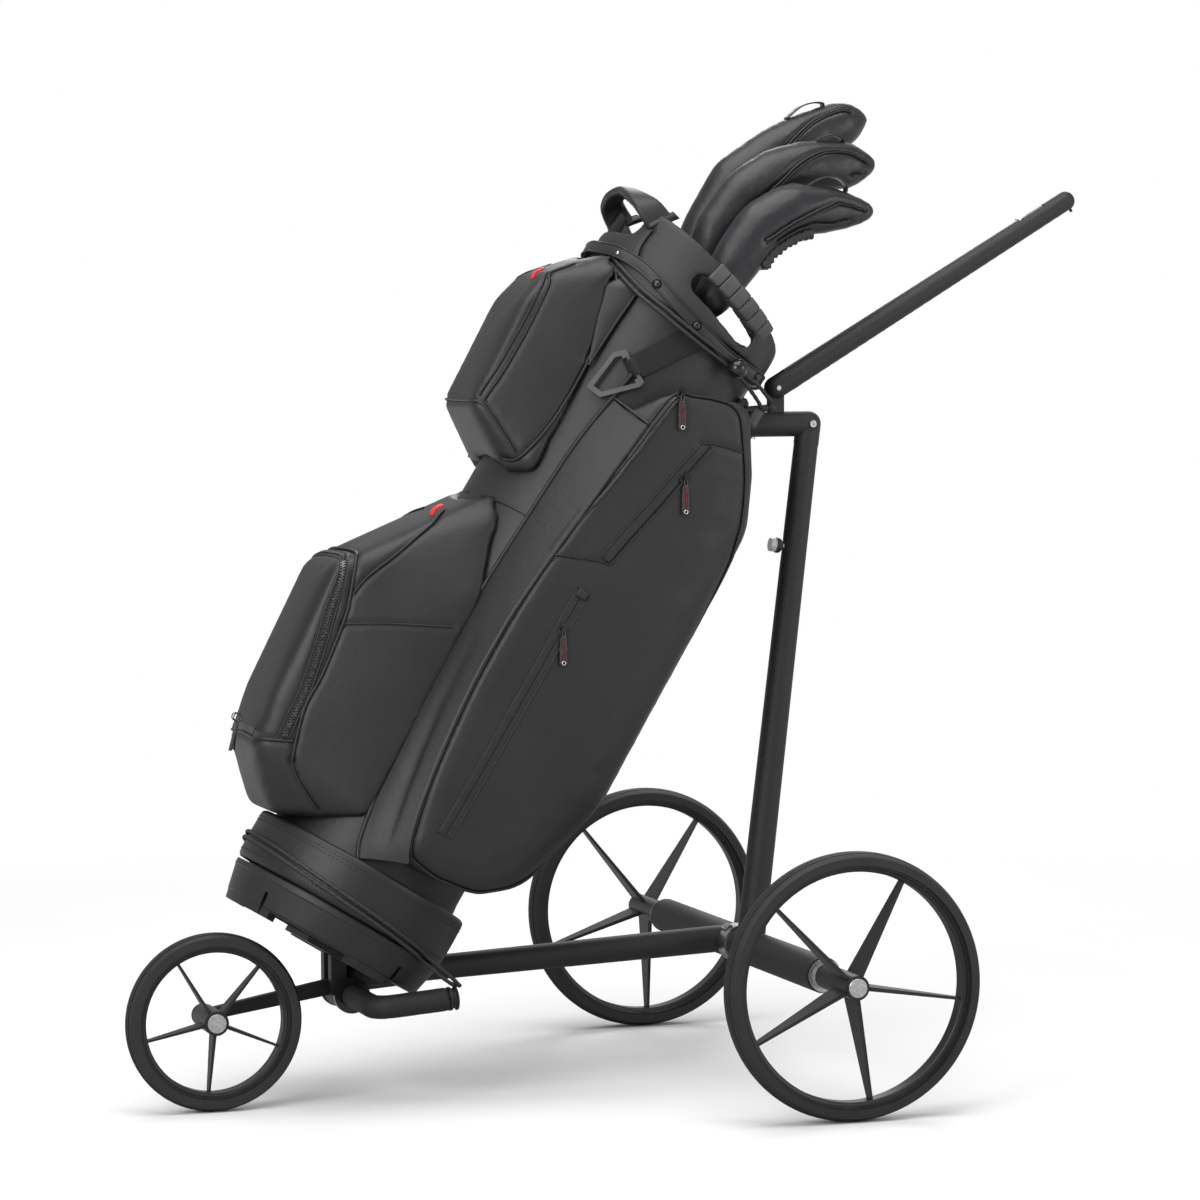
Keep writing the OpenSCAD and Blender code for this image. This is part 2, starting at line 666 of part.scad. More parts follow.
module handle_tube() {
    color([0.15, 0.15, 0.155]) in_handle() difference() {
        union() {
            cylinder(h = handle_l - 2, r1 = handle_d / 2, r2 = handle_end_d / 2);
            sphere(r = handle_d / 2);
        }
        translate([0, 0, 20]) cylinder(h = handle_l, r1 = handle_r(20) - tube_wall, r2 = handle_r(handle_l) - tube_wall);
        translate([-20, -tongue_t / 2 - 0.3, -20]) cube([40, tongue_t + 0.6, 38]);
        rotate([90, 0, 0]) cylinder(h = 2 * handle_d, r = hinge_pin_d / 2 + run_gap, center = true);
        translate([-handle_r(lever_s) - 3, -6.3, lever_s - 3]) cube([4.6, 12.6, 40]);
    }
}

module handle_pin() {
    color([0.7, 0.7, 0.71]) y_bar(axle_x + hinge_x, hinge_z, upright_y - handle_d / 2 + 1,
        upright_y + handle_d / 2 - 1, hinge_pin_d / 2);
}

// Rounded end cap with its plug and a small lanyard peg underneath
module handle_cap() {
    color([0.14, 0.14, 0.145]) in_handle() {
        translate([0, 0, handle_l - 2]) cylinder(h = 2, r = handle_end_d / 2);
        difference() {
            translate([0, 0, handle_l]) sphere(r = handle_end_d / 2);
            translate([0, 0, handle_l - 52]) cylinder(h = 52, r = handle_end_d);
        }
        translate([0, 0, handle_l - 16]) cylinder(h = 14, r = handle_end_d / 2 - tube_wall - run_gap);
        translate([handle_end_d / 2 - 1, 0, handle_l + 1]) rotate([0, 90, 0]) cylinder(h = 4.5, r = 1.8);
    }
}

// Thumb lever let into the top of the handle, hinged at its lower end
module handle_lever() {
    color([0.8, 0.8, 0.8]) in_handle() translate([-handle_r(lever_s) - 0.4, 0, lever_s]) {
        rotate([0, -6, 0]) translate([-1, -5.8, 0]) cube([1.8, 11.6, 36]);
        rotate([90, 0, 0]) cylinder(h = 12.2, r = 1.4, center = true);
    }
}

// ---------------------------------------------------------------- bag

// Stiff tube of the bag with the thick leather band at its foot
module bag_shell() {
    color([0.17, 0.17, 0.175]) difference() {
        in_bag() rotate_extrude() polygon([[shell_r, floor_z + 4], [bag_r, floor_z + 4],
            [bag_r, base_h + 3], [band_r - 2, base_h + 3], [band_r, base_h + 5],
            [band_r, band_top - 3], [band_r - 3, band_top], [bag_r, band_top], [bag_r, collar_low + 20],
            [shell_r, collar_low + 20]]);
        keel_solid(notch_gap + notch_wall, keel_l);
        at_rim() translate([-32, -2 * bag_r, -47.5]) cube([108, 4 * bag_r, 80]);
    }
}

// Moulded base: flared wall with a floor, notches, raised feet and a notch that straddles the keel
module bag_base() {
    wall = 4;
    feet = [[-40, 40], [90, 117], [-117, -90]];
    color([0.09, 0.09, 0.095]) difference() {
        union() {
            in_bag() rotate_extrude() polygon([[0, 0], [base_foot_r, 0], [base_foot_r + 2, 3],
                [base_r - 1, base_h - 8], [base_r, base_h - 6], [base_r, base_h],
                [bag_r + soft_gap, base_h], [bag_r + soft_gap, floor_z], [0, floor_z]]);
            in_bag() for (f = feet) rotate(180 + f[0]) rotate_extrude(angle = f[1] - f[0])
                polygon([[base_foot_r - 16, -8], [base_foot_r - 1, -8], [base_foot_r + 1, 1], [base_foot_r - 16, 1]]);
            intersection() {
                keel_solid(notch_gap + notch_wall, keel_l);
                in_bag() cylinder(h = base_h + 22, r = base_r - 2);
            }
        }
        in_bag() {
            for (side = [-1, 1]) rotate(180 + side * 120) translate([base_foot_r - wall, -3, -cut])
                cube([20, 6, 20]);
            for (a = [-34, 34]) rotate(180 + a) translate([base_foot_r - 2, -2.5, -20]) cube([20, 5, 38]);
            translate([0, 0, -cut]) cylinder(h = floor_z - wall + cut, r = base_foot_r - 24);
        }
        keel_solid(notch_gap, keel_l + 4);
    }
}

// Padded collar: slanted rim, scooped front, a grab opening in each side
module bag_collar() {
    color([0.18, 0.18, 0.185]) difference() {
        in_bag() rotate_extrude() polygon([[bag_r + soft_gap, collar_low], [collar_r, collar_low + 2],
            [collar_r + 1, collar_low + 26], [collar_r - 4, rim_s + 60], [collar_r - collar_wall + 2, rim_s + 60],
            [collar_r - collar_wall, collar_low + 30], [bag_r + soft_gap, collar_low + 22]]);
        at_rim() translate([-300, -300, 0]) cube([600, 600, 300]);
        at_rim() for (x = [-18, 62]) translate([x, 0, -33]) rotate([90, 0, 0])
            cylinder(h = 3 * collar_r, r = 12.5, center = true);
        at_rim() translate([-18, -1.5 * collar_r, -45.5]) cube([80, 3 * collar_r, 25]);
        in_bag() {
            for (side = [-1, 1]) translate([-collar_r - 20, side * (scoop_w / 2 - 14), scoop_s + 14])
                rotate([0, 90, 0]) cylinder(h = 90, r = 14);
            translate([-collar_r - 20, 14 - scoop_w / 2, scoop_s]) cube([90, scoop_w - 28, 90]);
            translate([-collar_r - 20, -scoop_w / 2, scoop_s + 14]) cube([90, scoop_w, 90]);
        }
    }
}

// Divider grid seated inside the collar
module bag_dividers() {
    low = collar_low - 14;
    color([0.08, 0.08, 0.085]) in_bag() intersection() {
        translate([0, 0, low]) cylinder(h = 22, r = shell_r - soft_gap);
        union() {
            difference() {
                translate([0, 0, low]) cylinder(h = 22, r = shell_r);
                translate([0, 0, low - cut]) cylinder(h = 30, r = shell_r - 5);
            }
            for (x = [-38, 54]) translate([x - divider_t / 2, -bag_r, low]) cube([divider_t, bag_d, 22]);
            for (y = [-1, 1]) translate([-38, y * club_pitch / 2 - divider_t / 2, low])
                cube([92, divider_t, 22]);
            for (x = [-bag_r, 54]) translate([x, -divider_t / 2, low]) cube([x < 0 ? bag_r - 38 : bag_r, divider_t, 22]);
        }
    }
}

// Arched carry handle: a band that leans over the front, deep at its feet and slim at its bow
arch_r = 62;
arch_t = 10;
module carry_handle() {
    foot_x = collar_r - 35;
    low = rim_s - 86;
    color([0.12, 0.12, 0.125]) in_bag() difference() {
        intersection() {
            union() {
                difference() {
                    translate([-foot_x, 0, low]) cylinder(h = 200, r = arch_r, $fn = 96);
                    translate([-foot_x, 0, low]) cylinder(h = 200, r = arch_r - arch_t, $fn = 96);
                    translate([-foot_x, -200, low]) cube([300, 400, 200]);
                }
                for (side = [-1, 1]) translate([-foot_x - 1, side * (arch_r - arch_t / 2) - arch_t / 2, low])
                    cube([14, arch_t, 200]);
                for (side = [-1, 1]) translate([-foot_x - 10, side * (arch_r + 2) - 10, low])
                    cube([24, 20, 112]);
            }
            translate([-foot_x, 0, rim_s]) rotate([90, 0, 0]) linear_extrude(height = 300, center = true)
                polygon([[13, 34], [-1, 8], [-16, 14], [-30, 21], [-41, 20], [-52, 14], [-62, 7],
                    [-68, 12], [-65, 22], [-56, 31], [-38, 36], [-16, 36]]);
        }
        difference() {
            rotate_extrude() polygon([[collar_r - collar_wall, 0], [collar_r + 2, 0], [collar_r + 2, rim_s + 60],
                [collar_r - collar_wall + 2, rim_s + 60], [collar_r - collar_wall, collar_low + 30]]);
            translate([0, 0, rim_s]) rotate([0, rim_fall, 0]) translate([-300, -300, 0]) cube([600, 600, 300]);
        }
    }
}

// A soft shape: the hull of round corners given as [forward, sideways, height, radius]
module soft_hull(corners) {
    hull() for (c = corners) translate([-c[0], c[1], c[2]]) sphere(r = c[3], $fn = soft_fn);
}

// Space the bag's own tube and collar take, with the soft clearance
module bag_space() {
    cylinder(h = rim_s + 100, r = bag_r + soft_gap);
    translate([0, 0, collar_low - soft_gap]) cylinder(h = 200, r = collar_r + 1 + soft_gap);
    cylinder(h = band_top + soft_gap, r = band_r + soft_gap);
    translate([0, 0, upper_route[3][1] - 19]) cylinder(h = 60, r = collar_r + 1 + cord_d + 2 * soft_gap);
}

// Upper front pocket
module upper_pocket() {
    color([0.18, 0.18, 0.185]) in_bag() difference() {
        soft_hull([for (side = [-1, 1]) each [[167, side * 50, 618, 13], [166, side * 52, 630, 14],
            [175, side * 50, 742, 12], [166, side * 48, 778, 12], [112, side * 50, 842, 10],
            [94, side * 70, 840, 8], [86, side * 82, 585, 10], [100, side * 62, 572, 8]]]);
        bag_space();
    }
}

// Lower front pocket with its steep flap
module lower_pocket() {
    color([0.18, 0.18, 0.185]) in_bag() difference() {
        soft_hull([for (side = [-1, 1]) each [[138, side * 52, 108, 11], [188, side * 56, 160, 14],
            [199, side * 58, 215, 14], [213, side * 56, 368, 13], [198, side * 54, 390, 12],
            [100, side * 58, 532, 8], [92, side * 76, 512, 8], [60, side * 100, 150, 10],
            [70, side * 96, 420, 10]]]);
        bag_space();
    }
}

// Side pocket: gusset rising from the bag to a flat outer panel
module side_pocket(side) {
    color([0.17, 0.17, 0.175]) in_bag() difference() {
        soft_hull([for (c = side_corners) [c[0], side * (side_face - c[1] - c[3]), c[2], c[3]]]);
        bag_space();
        soft_hull([for (s = [-1, 1]) each [[60, s * 101, 140, 14], [60, s * 101, 440, 14]]]);
    }
}

// ---------------------------------------------------------------- towel ring

ring_turn = 64;
ring_s = 722;
ring_hang = 33;
webbing_w = 30;
webbing_t = 2;
hinge_lift = 4.7;

// Frame on the bag's near side: X runs round to the rear, Y up the bag, Z out of it
module on_side() {
    in_bag() rotate(ring_turn) translate([-bag_r - soft_gap, 0, ring_s]) rotate([90, 0, 0])
        rotate([0, -90, 0]) children();
}

// Frame of the hanging ring: X along its hinge bar, Y up the strap, Z out of the bag
module at_ring() {
    on_side() translate([6, 15.5, 0]) rotate(-ring_hang) children();
}

// Webbing strap that follows the bag from under the collar, with the loop that holds the ring
module towel_strap() {
    color([0.07, 0.07, 0.07]) difference() {
        union() {
            intersection() {
                in_bag() difference() {
                    cylinder(h = collar_low - soft_gap, r = bag_r + soft_gap + webbing_t);
                    cylinder(h = collar_low, r = bag_r + soft_gap);
                }
                at_ring() translate([-webbing_w / 2, -8, -60]) cube([webbing_w, 140, 70]);
            }
            at_ring() translate([-11, 0, hinge_lift]) rotate([0, 90, 0]) cylinder(h = 22, r = 4.2);
        }
        at_ring() translate([-30, 0, hinge_lift]) rotate([0, 90, 0]) cylinder(h = 60, r = 2.5 + run_gap);
        in_bag() cylinder(h = collar_low, r = bag_r + soft_gap);
    }
}

// Five-sided ring that hangs from the strap on its round bar
module towel_ring() {
    outline = [[-22, 2.2], [22, 2.2], [24, -4], [13, -50], [-5, -58], [-26, -12]];
    low = 3.4;
    color([0.3, 0.3, 0.31]) at_ring() {
        translate([0, 0, low]) linear_extrude(height = 4) difference() {
            polygon(outline);
            polygon([[-18, -6], [18, -6], [8.5, -45], [-2.5, -50], [-20, -13]]);
            translate([-14, -7]) square([28, 16]);
        }
        translate([-18, 0, hinge_lift]) rotate([0, 90, 0]) cylinder(h = 36, r = 2.5);
    }
}

// ---------------------------------------------------------------- clubs

// Club: rubber grip on the bag's floor, tapered steel shaft
module club(i) {
    y = (1 - i) * club_pitch;
    in_bag() translate([club_x, y, floor_z]) {
        color([0.1, 0.1, 0.1]) cylinder(h = 265, r1 = club_grip_d / 2, r2 = club_grip_d / 2 - 4.5);
        color([0.75, 0.75, 0.77]) cylinder(h = club_top[i] - floor_z, r = club_shaft_d / 2);
    }
}

// Curved leather head cover over the club's head and neck
module cover(i) {
    y = (1 - i) * club_pitch;
    path = cover_path[i];
    color([0.16, 0.16, 0.165]) in_bag() difference() {
        translate([0, y, 0]) scale([1, cover_w / 66, 1]) for (k = [0:len(path) - 2])
            hull() for (p = [path[k], path[k + 1]])
                translate([p[0], 0, p[1]]) sphere(r = p[2], $fn = soft_fn);
        translate([club_x, y, 800]) cylinder(h = club_top[i] - 800, r = club_shaft_d / 2 + run_gap);
    }
}

// ---------------------------------------------------------------- zip sliders and pulls

// Rest places of the sliders on the near panel: [back, height], and their run's direction
slider_at = [[5, 735], [58, 655], [20, 436]];
slider_turn = [0, -11, 0];
post_l = 5;

module on_panel(i) {
    in_bag() translate([slider_at[i][0], -side_face - soft_gap, slider_at[i][1]]) children();
}

module slider(i) {
    color([0.2, 0.2, 0.2]) on_panel(i) {
        rotate([0, -slider_turn[i], 0]) translate([-4.5, -2.6, -7]) cube([9, 2.6, 14]);
        rotate([90, 0, 0]) cylinder(h = post_l, r = 1.6);
        translate([0, -post_l, 0]) rotate([90, 0, 0]) cylinder(h = 1, r = 2.6);
    }
}

module pull(i) {
    color([0.15, 0.13, 0.13]) on_panel(i) translate([0, -2.9, 0]) rotate([0, -bag_lean, 0])
        rotate([90, 0, 0]) linear_extrude(height = 1.8) difference() {
            union() {
                circle(r = 3.2);
                translate([-2.2, -14]) square([4.4, 14]);
                translate([-5.5, -38]) square([11, 25]);
                translate([0, -38]) circle(r = 5.5);
            }
            circle(r = 1.6 + run_gap);
        }
}

axle_tube_near();
axle_tube_far();
axle_ring();
axle_ends();
keel_tube();
keel_clamp();
front_arm();
front_axle();
upright();
lock_collar();
lock_knob();
head_tube();
frame_screws();
cradle_tube();
cradle_foam();
cradle_rings();
cradle_caps();
base_rest();
lower_cord();
bag_bracket();
bracket_pad();
upper_cord();
cord_toggle();
bracket_ball();
handle_tube();
handle_pin();
handle_cap();
handle_lever();
tyre(0);  // near_tyre
rim(0);  // near_rim
button(0);  // near_button
tyre(1);  // far_tyre
rim(1);  // far_rim
button(1);  // far_button
tyre(2);  // front_tyre
rim(2);  // front_rim
button(2);  // front_button
bag_shell();
bag_base();
bag_collar();
bag_dividers();
carry_handle();
upper_pocket();
lower_pocket();
side_pocket(-1);  // side_pocket_near
side_pocket(1);  // side_pocket_far
towel_strap();
towel_ring();
club(0);  // club_one
club(1);  // club_two
club(2);  // club_three
cover(0);  // cover_one
cover(1);  // cover_two
cover(2);  // cover_three
slider(0);  // slider_top
slider(1);  // slider_middle
slider(2);  // slider_low
pull(0);  // pull_top
pull(1);  // pull_middle
pull(2);  // pull_low
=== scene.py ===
# %% [markdown]
# Golf bag on push cart, dressed for the camera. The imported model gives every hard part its
# place, so the script only adds materials and replaces the soft goods: leather panels and
# pockets, padded head covers, foam sleeves, elastic cords and webbing. Units are metres.

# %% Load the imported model
import math

import bmesh
import bpy
from mathutils import Matrix, Vector, noise
from mathutils.bvhtree import BVHTree
from mathutils.kdtree import KDTree


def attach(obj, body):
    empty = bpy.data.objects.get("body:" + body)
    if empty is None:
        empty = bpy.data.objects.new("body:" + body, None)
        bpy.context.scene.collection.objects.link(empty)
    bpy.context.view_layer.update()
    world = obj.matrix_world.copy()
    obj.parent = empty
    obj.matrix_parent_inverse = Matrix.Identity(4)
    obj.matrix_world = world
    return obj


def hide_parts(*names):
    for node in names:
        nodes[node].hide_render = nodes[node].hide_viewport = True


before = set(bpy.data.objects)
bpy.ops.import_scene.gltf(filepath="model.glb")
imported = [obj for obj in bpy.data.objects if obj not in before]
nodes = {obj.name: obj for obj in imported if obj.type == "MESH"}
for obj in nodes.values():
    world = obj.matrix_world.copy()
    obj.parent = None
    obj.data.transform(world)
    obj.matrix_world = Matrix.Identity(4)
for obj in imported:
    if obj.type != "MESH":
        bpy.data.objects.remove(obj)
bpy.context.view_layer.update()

sides = (("near", -1), ("far", 1))

# %% [markdown]
# The cart is a low, wide object seen from slightly above with a long lens, which keeps the
# wheels round. The camera is placed by the direction it looks along, its distance and its
# roll. A lens of 128.5 mm frames the whole cart from five metres.

# %% Camera
def link_object(name, data):
    """A new object in the scene."""
    made = bpy.data.objects.new(name, data)
    bpy.context.scene.collection.objects.link(made)
    return made


look_at, distance, lens = Vector((-0.0058, 0.0, 0.5614)), 4.981, 128.48
turn, rise, roll = (math.radians(a) for a in (-18.625, 3.595, -0.297))
back = Vector((math.sin(turn) * math.cos(rise), -math.cos(turn) * math.cos(rise), math.sin(rise)))
right = Vector((math.cos(turn), math.sin(turn), 0.0))
up = back.cross(right)
right, up = (right * math.cos(roll) + up * math.sin(roll),
             up * math.cos(roll) - right * math.sin(roll))
camera = link_object("camera", bpy.data.cameras.new("camera"))
camera.data.lens, camera.data.sensor_width = lens, 36
camera.matrix_world = Matrix.Translation(look_at + back * distance) @ Matrix(
    (right, up, back)).transposed().to_4x4()
bpy.context.scene.camera = camera

# %% [markdown]
# A studio for black goods needs large soft lamps: black leather shows its shape only by what
# it reflects. One broad lamp stands to the front left, a second one above, a third fills from
# the right and a fourth lights the rear edge. The floor and the world are white to the camera,
# so the outline stays crisp, and darker to every other ray, so the leather stays black.

# %% Studio
def set_inputs(node, **values):
    """Sets a node's inputs by name; an underscore stands for a space."""
    for key, value in values.items():
        node.inputs[key.replace("_", " ")].default_value = value
    return node


white, aim_at = (1, 1, 1), Vector((0, 0, 0.5))
for name, place, size, power, colour in (
        ("front_left", (-2.6, -2.2, 1.9), 1.8, 62, (1.0, 0.97, 0.95)),
        ("overhead", (-0.3, -0.5, 3.0), 2.4, 60, white),
        ("right_fill", (2.6, -2.4, 1.4), 1.6, 26, white),
        ("rear_edge", (1.2, 2.4, 2.2), 1.5, 30, white)):
    lamp = bpy.data.lights.new(name, "AREA")
    lamp.shape, lamp.size, lamp.energy, lamp.color = "SQUARE", size, power, colour
    aim = (aim_at - Vector(place)).to_track_quat("-Z", "Y")
    link_object(name, lamp).matrix_world = Matrix.Translation(place) @ aim.to_matrix().to_4x4()

sky_light, sky_seen = 0.46, 1.0
world = bpy.data.worlds.new("studio")
bpy.context.scene.world = world
world.use_nodes = True
sky = world.node_tree
strength = sky.nodes.new("ShaderNodeMix")
strength.data_type = "FLOAT"
for slot, light in ((2, sky_light), (3, sky_seen)):
    strength.inputs[slot].default_value = light
sky.links.new(sky.nodes.new("ShaderNodeLightPath").outputs["Is Camera Ray"], strength.inputs[0])
sky.links.new(strength.outputs[0], sky.nodes["Background"].inputs["Strength"])
set_inputs(sky.nodes["Background"], Color=(1, 1, 1, 1))

bm = bmesh.new()
bmesh.ops.create_grid(bm, x_segments=1, y_segments=1, size=8)
floor = link_object("floor", bpy.data.meshes.new("floor"))
bm.to_mesh(floor.data)
bm.free()
bpy.context.scene.view_settings.view_transform = "Standard"

# %% [markdown]
# A real surface is never one flat colour. Each finish below is a node material: a base colour
# that wanders slightly between two tones, a roughness that wanders with it, and one or two
# bumps at the size of the real grain. Object coordinates are metres here, so a noise of
# scale 900 has lumps of about one millimetre.

# %% Finish maker
grain_kinds = {"pebble": ("ShaderNodeTexVoronoi", "Distance", {}),
               "weave": ("ShaderNodeTexWave", "Fac", {"Distortion": 0.6}),
               "noise": ("ShaderNodeTexNoise", "Fac", {"Detail": 3})}


def finish(name, dark, light, rough, grain, tone, metal=0.0, sheen=0.0, spec=0.5):
    """A principled material. Its two tones are in thousandths, from black to white; grain lists
    bumps of (kind, scale, strength, stretch or nothing)."""
    mat = bpy.data.materials.new(name)
    mat.use_nodes = True
    tree = mat.node_tree
    new, link = tree.nodes.new, tree.links.new
    base = set_inputs(tree.nodes["Principled BSDF"], Metallic=metal, Sheen_Weight=sheen,
                      Sheen_Roughness=0.5, Specular_IOR_Level=spec)
    place = new("ShaderNodeTexCoord").outputs["Object"]
    cloud = set_inputs(new("ShaderNodeTexNoise"), Scale=tone, Detail=6)
    link(place, cloud.inputs["Vector"])
    ramp = new("ShaderNodeValToRGB")
    for stop, position, colour in zip(ramp.color_ramp.elements, (0.32, 0.7), (dark, light)):
        stop.position, stop.color = position, (*(c / 1000 for c in colour), 1)
    link(cloud.outputs["Fac"], ramp.inputs["Fac"])
    link(ramp.outputs["Color"], base.inputs["Base Color"])
    gloss = set_inputs(new("ShaderNodeMapRange"), To_Min=rough[0], To_Max=rough[1])
    link(cloud.outputs["Fac"], gloss.inputs["Value"])
    link(gloss.outputs["Result"], base.inputs["Roughness"])
    last = None
    for kind, scale, bump_strength, *stretch in grain:
        spread = set_inputs(new("ShaderNodeMapping"), Scale=stretch or (1, 1, 1))
        link(place, spread.inputs["Vector"])
        texture, height, values = grain_kinds[kind]
        tex = set_inputs(new(texture), Scale=scale, **values)
        if kind == "pebble":
            tex.feature = "SMOOTH_F1"
        link(spread.outputs["Vector"], tex.inputs["Vector"])
        bump = set_inputs(new("ShaderNodeBump"), Strength=bump_strength, Distance=0.6 / scale)
        link(tex.outputs[height], bump.inputs["Height"])
        if last:
            link(last.outputs["Normal"], bump.inputs["Normal"])
        last = bump
    link(last.outputs["Normal"], base.inputs["Normal"])
    return mat


leather = finish("black_leather", (8.5, 8.5, 9), (13.5, 13.2, 13.7), (0.42, 0.54),
                 [("pebble", 850, 0.12), ("noise", 60, 0.05)], 9)
soft_leather = finish("cover_leather", (8, 8, 10), (14, 14, 17), (0.34, 0.46),
                      [("pebble", 900, 0.10), ("noise", 45, 0.12)], 12)
piping = finish("piping_leather", (6, 6, 6.5), (11, 11, 11.5), (0.38, 0.5),
                [("noise", 700, 0.15)], 30)
thread = finish("black_thread", (10, 10, 10), (20, 20, 20), (0.6, 0.75), [("noise", 1500, 0.3)], 90)
paint = finish("textured_paint", (7, 7, 7.5), (17, 17, 18), (0.5, 0.66),
               [("noise", 1100, 0.18), ("noise", 260, 0.06)], 420)
rubber = finish("tyre_rubber", (12, 11.5, 11.5), (20, 19.5, 19.5), (0.55, 0.72),
                [("noise", 700, 0.15)], 20)
nylon = finish("rim_nylon", (7, 7, 7.5), (13, 13, 13.5), (0.38, 0.5), [("noise", 900, 0.18)], 60)
plastic = finish("satin_plastic", (8, 8, 8.5), (14, 14, 14.5), (0.42, 0.56),
                 [("noise", 1300, 0.2)], 40)
gloss_plastic = finish("gloss_plastic", (8, 8, 9), (14, 14, 15), (0.12, 0.2),
                       [("noise", 200, 0.02)], 30)
grey_plastic = finish("grey_plastic", (50, 50, 52), (75, 75, 78), (0.4, 0.55),
                      [("noise", 1300, 0.2)], 40)
grip_rubber = finish("grip_rubber", (45, 44, 46), (70, 68, 70), (0.4, 0.55),
                     [("noise", 1300, 0.2)], 40)
foam = finish("sleeve_foam", (8, 8, 8.5), (15, 15, 15.5), (0.6, 0.75),
              [("noise", 1400, 0.5), ("noise", 240, 0.12)], 220)
steel = finish("brushed_steel", (500, 500, 500), (660, 660, 660), (0.22, 0.34),
               [("noise", 700, 0.12, 1, 1, 14)], 300, metal=1.0)
chrome = finish("chromed_shaft", (550, 550, 560), (680, 680, 700), (0.08, 0.16),
                [("noise", 90, 0.02)], 40, metal=1.0)
webbing = finish("webbing", (10, 10, 11), (20, 20, 21), (0.6, 0.75),
                 [("weave", 520, 0.5), ("noise", 1200, 0.3)], 90, sheen=0.2)
band_weave = finish("towel_band", (3, 3, 3.4), (8, 8, 8.5), (0.7, 0.85),
                    [("weave", 520, 0.5), ("noise", 1200, 0.3)], 90, sheen=0.04)
velvet = finish("velvet_lining", (8, 8, 10), (22, 22, 26), (0.85, 0.95),
                [("noise", 900, 0.8)], 500, sheen=0.15)
elastic = finish("braided_elastic", (10, 10, 11), (30, 30, 32), (0.5, 0.65),
                 [("pebble", 900, 0.6)], 700)
red = finish("red_tab", (550, 12, 20), (750, 30, 40), (0.45, 0.6), [("weave", 900, 0.3)], 200)
pull_leather = finish("pull_leather", (20, 14, 14), (40, 26, 26), (0.4, 0.5),
                      [("pebble", 1500, 0.15)], 90)
collar_leather = finish("collar_leather", (13, 13, 13), (19, 18.5, 18.5), (0.5, 0.6),
                        [("pebble", 950, 0.10), ("noise", 60, 0.04)], 8)
# Painted shade: a near-black finish for thin cords, rings and discs that stand for the shade in seam
# grooves, zip slits, eyelet holes and round the feet of studs.
painted_shade = finish("seam_shadow", (2, 2, 2), (4, 4, 4), (0.6, 0.7),
                    [("noise", 900, 0.1)], 60, spec=0.2)
gunmetal = finish("dark_metal", (50, 50, 50), (160, 160, 160), (0.22, 0.36),
                  [("noise", 900, 0.1)], 400, metal=1.0)
floor_white = finish("floor_white", (860, 860, 860), (880, 880, 880), (0.8, 0.9),
                     [("noise", 40, 0.01)], 3)

# %% [markdown]
# The floor is grey to light that bounces off it, and it glows white towards its far parts, so
# that only the soft shadow under the cart is left of it.

# %% Floor
floor.data.materials.append(floor_white)
tree = floor_white.node_tree
new, link, base = tree.nodes.new, tree.links.new, tree.nodes["Principled BSDF"]
tint = new("ShaderNodeMix")
tint.data_type = "RGBA"
tint.inputs[6].default_value = (0.4, 0.4, 0.4, 1)
link(new("ShaderNodeLightPath").outputs["Is Camera Ray"], tint.inputs[0])
link(tree.nodes["Color Ramp"].outputs["Color"], tint.inputs[7])
link(tint.outputs[2], base.inputs["Base Color"])
spread = set_inputs(new("ShaderNodeMapping"), Scale=(0.42, 0.42, 0.42))
ball = new("ShaderNodeTexGradient")
ball.gradient_type = "SPHERICAL"
away = set_inputs(new("ShaderNodeMapRange"), From_Min=0.55, From_Max=0.05)
blend = new("ShaderNodeMixShader")
link(tree.nodes["Texture Coordinate"].outputs["Object"], spread.inputs["Vector"])
link(spread.outputs["Vector"], ball.inputs["Vector"])
link(ball.outputs["Fac"], away.inputs["Value"])
link(away.outputs["Result"], blend.inputs[0])
link(base.outputs[0], blend.inputs[1])
link(new("ShaderNodeEmission").outputs[0], blend.inputs[2])
link(blend.outputs[0], tree.nodes["Material Output"].inputs["Surface"])

# %% [markdown]
# Hard parts keep their exact solids and only take a finish. The solids of the soft goods take
# one as well, and finer copies replace them further on.

# %% Dress the hard parts
for mat, names in (
        (paint, "axle_tube_near axle_tube_far keel_tube front_arm upright head_tube cradle_tube "
                "handle_tube handle_cap"),
        (steel, "axle_ring axle_ends front_axle lock_knob handle_pin near_button far_button "
                "front_button frame_screws handle_lever"),
        (rubber, "near_tyre far_tyre front_tyre"),
        (nylon, "near_rim far_rim front_rim"),
        (plastic, "keel_clamp lock_collar base_rest bag_bracket cradle_caps bag_dividers "
                  "carry_handle bag_base"),
        (grey_plastic, "towel_ring"),
        (gloss_plastic, "cradle_rings cord_toggle bracket_ball slider_top slider_middle "
                        "slider_low"),
        (grip_rubber, "bracket_pad"),
        (chrome, "club_one club_two club_three"),
        (leather, "bag_shell bag_collar upper_pocket lower_pocket side_pocket_near "
                  "side_pocket_far"),
        (soft_leather, "cover_one cover_two cover_three"),
        (foam, "cradle_foam"),
        (webbing, "towel_strap"),
        (elastic, "lower_cord upper_cord"),
        (pull_leather, "pull_top pull_middle pull_low")):
    for name in names.split():
        nodes[name].data.materials.clear()
        nodes[name].data.materials.append(mat)

# %% [markdown]
# Everything sewn is measured from the bag itself: how far forward of the bag's middle line a
# point lies, how far to the side, and how high up the bag, all in millimetres. One matrix
# turns such a point into the cart's frame, so the leaning bag can be drawn as if it stood up.

# %% Bag frame
bag_foot, bag_lean, rim_centre, rim_slant = (-0.34531, 0, 0.178), 31.4, (0, 0, 0.886), 15.6
lean = Matrix.Translation(bag_foot) @ Matrix.Rotation(math.radians(bag_lean), 4, "Y")
rim_tilt = lean @ Matrix.Translation(rim_centre) @ Matrix.Rotation(math.radians(rim_slant), 4, "Y")


def at_bag(forward, side, height):
    return lean @ Vector((-forward / 1000, side / 1000, height / 1000))


def toward(forward, side, height):
    """The same three numbers taken as a direction."""
    return at_bag(forward, side, height) - at_bag(0, 0, 0)


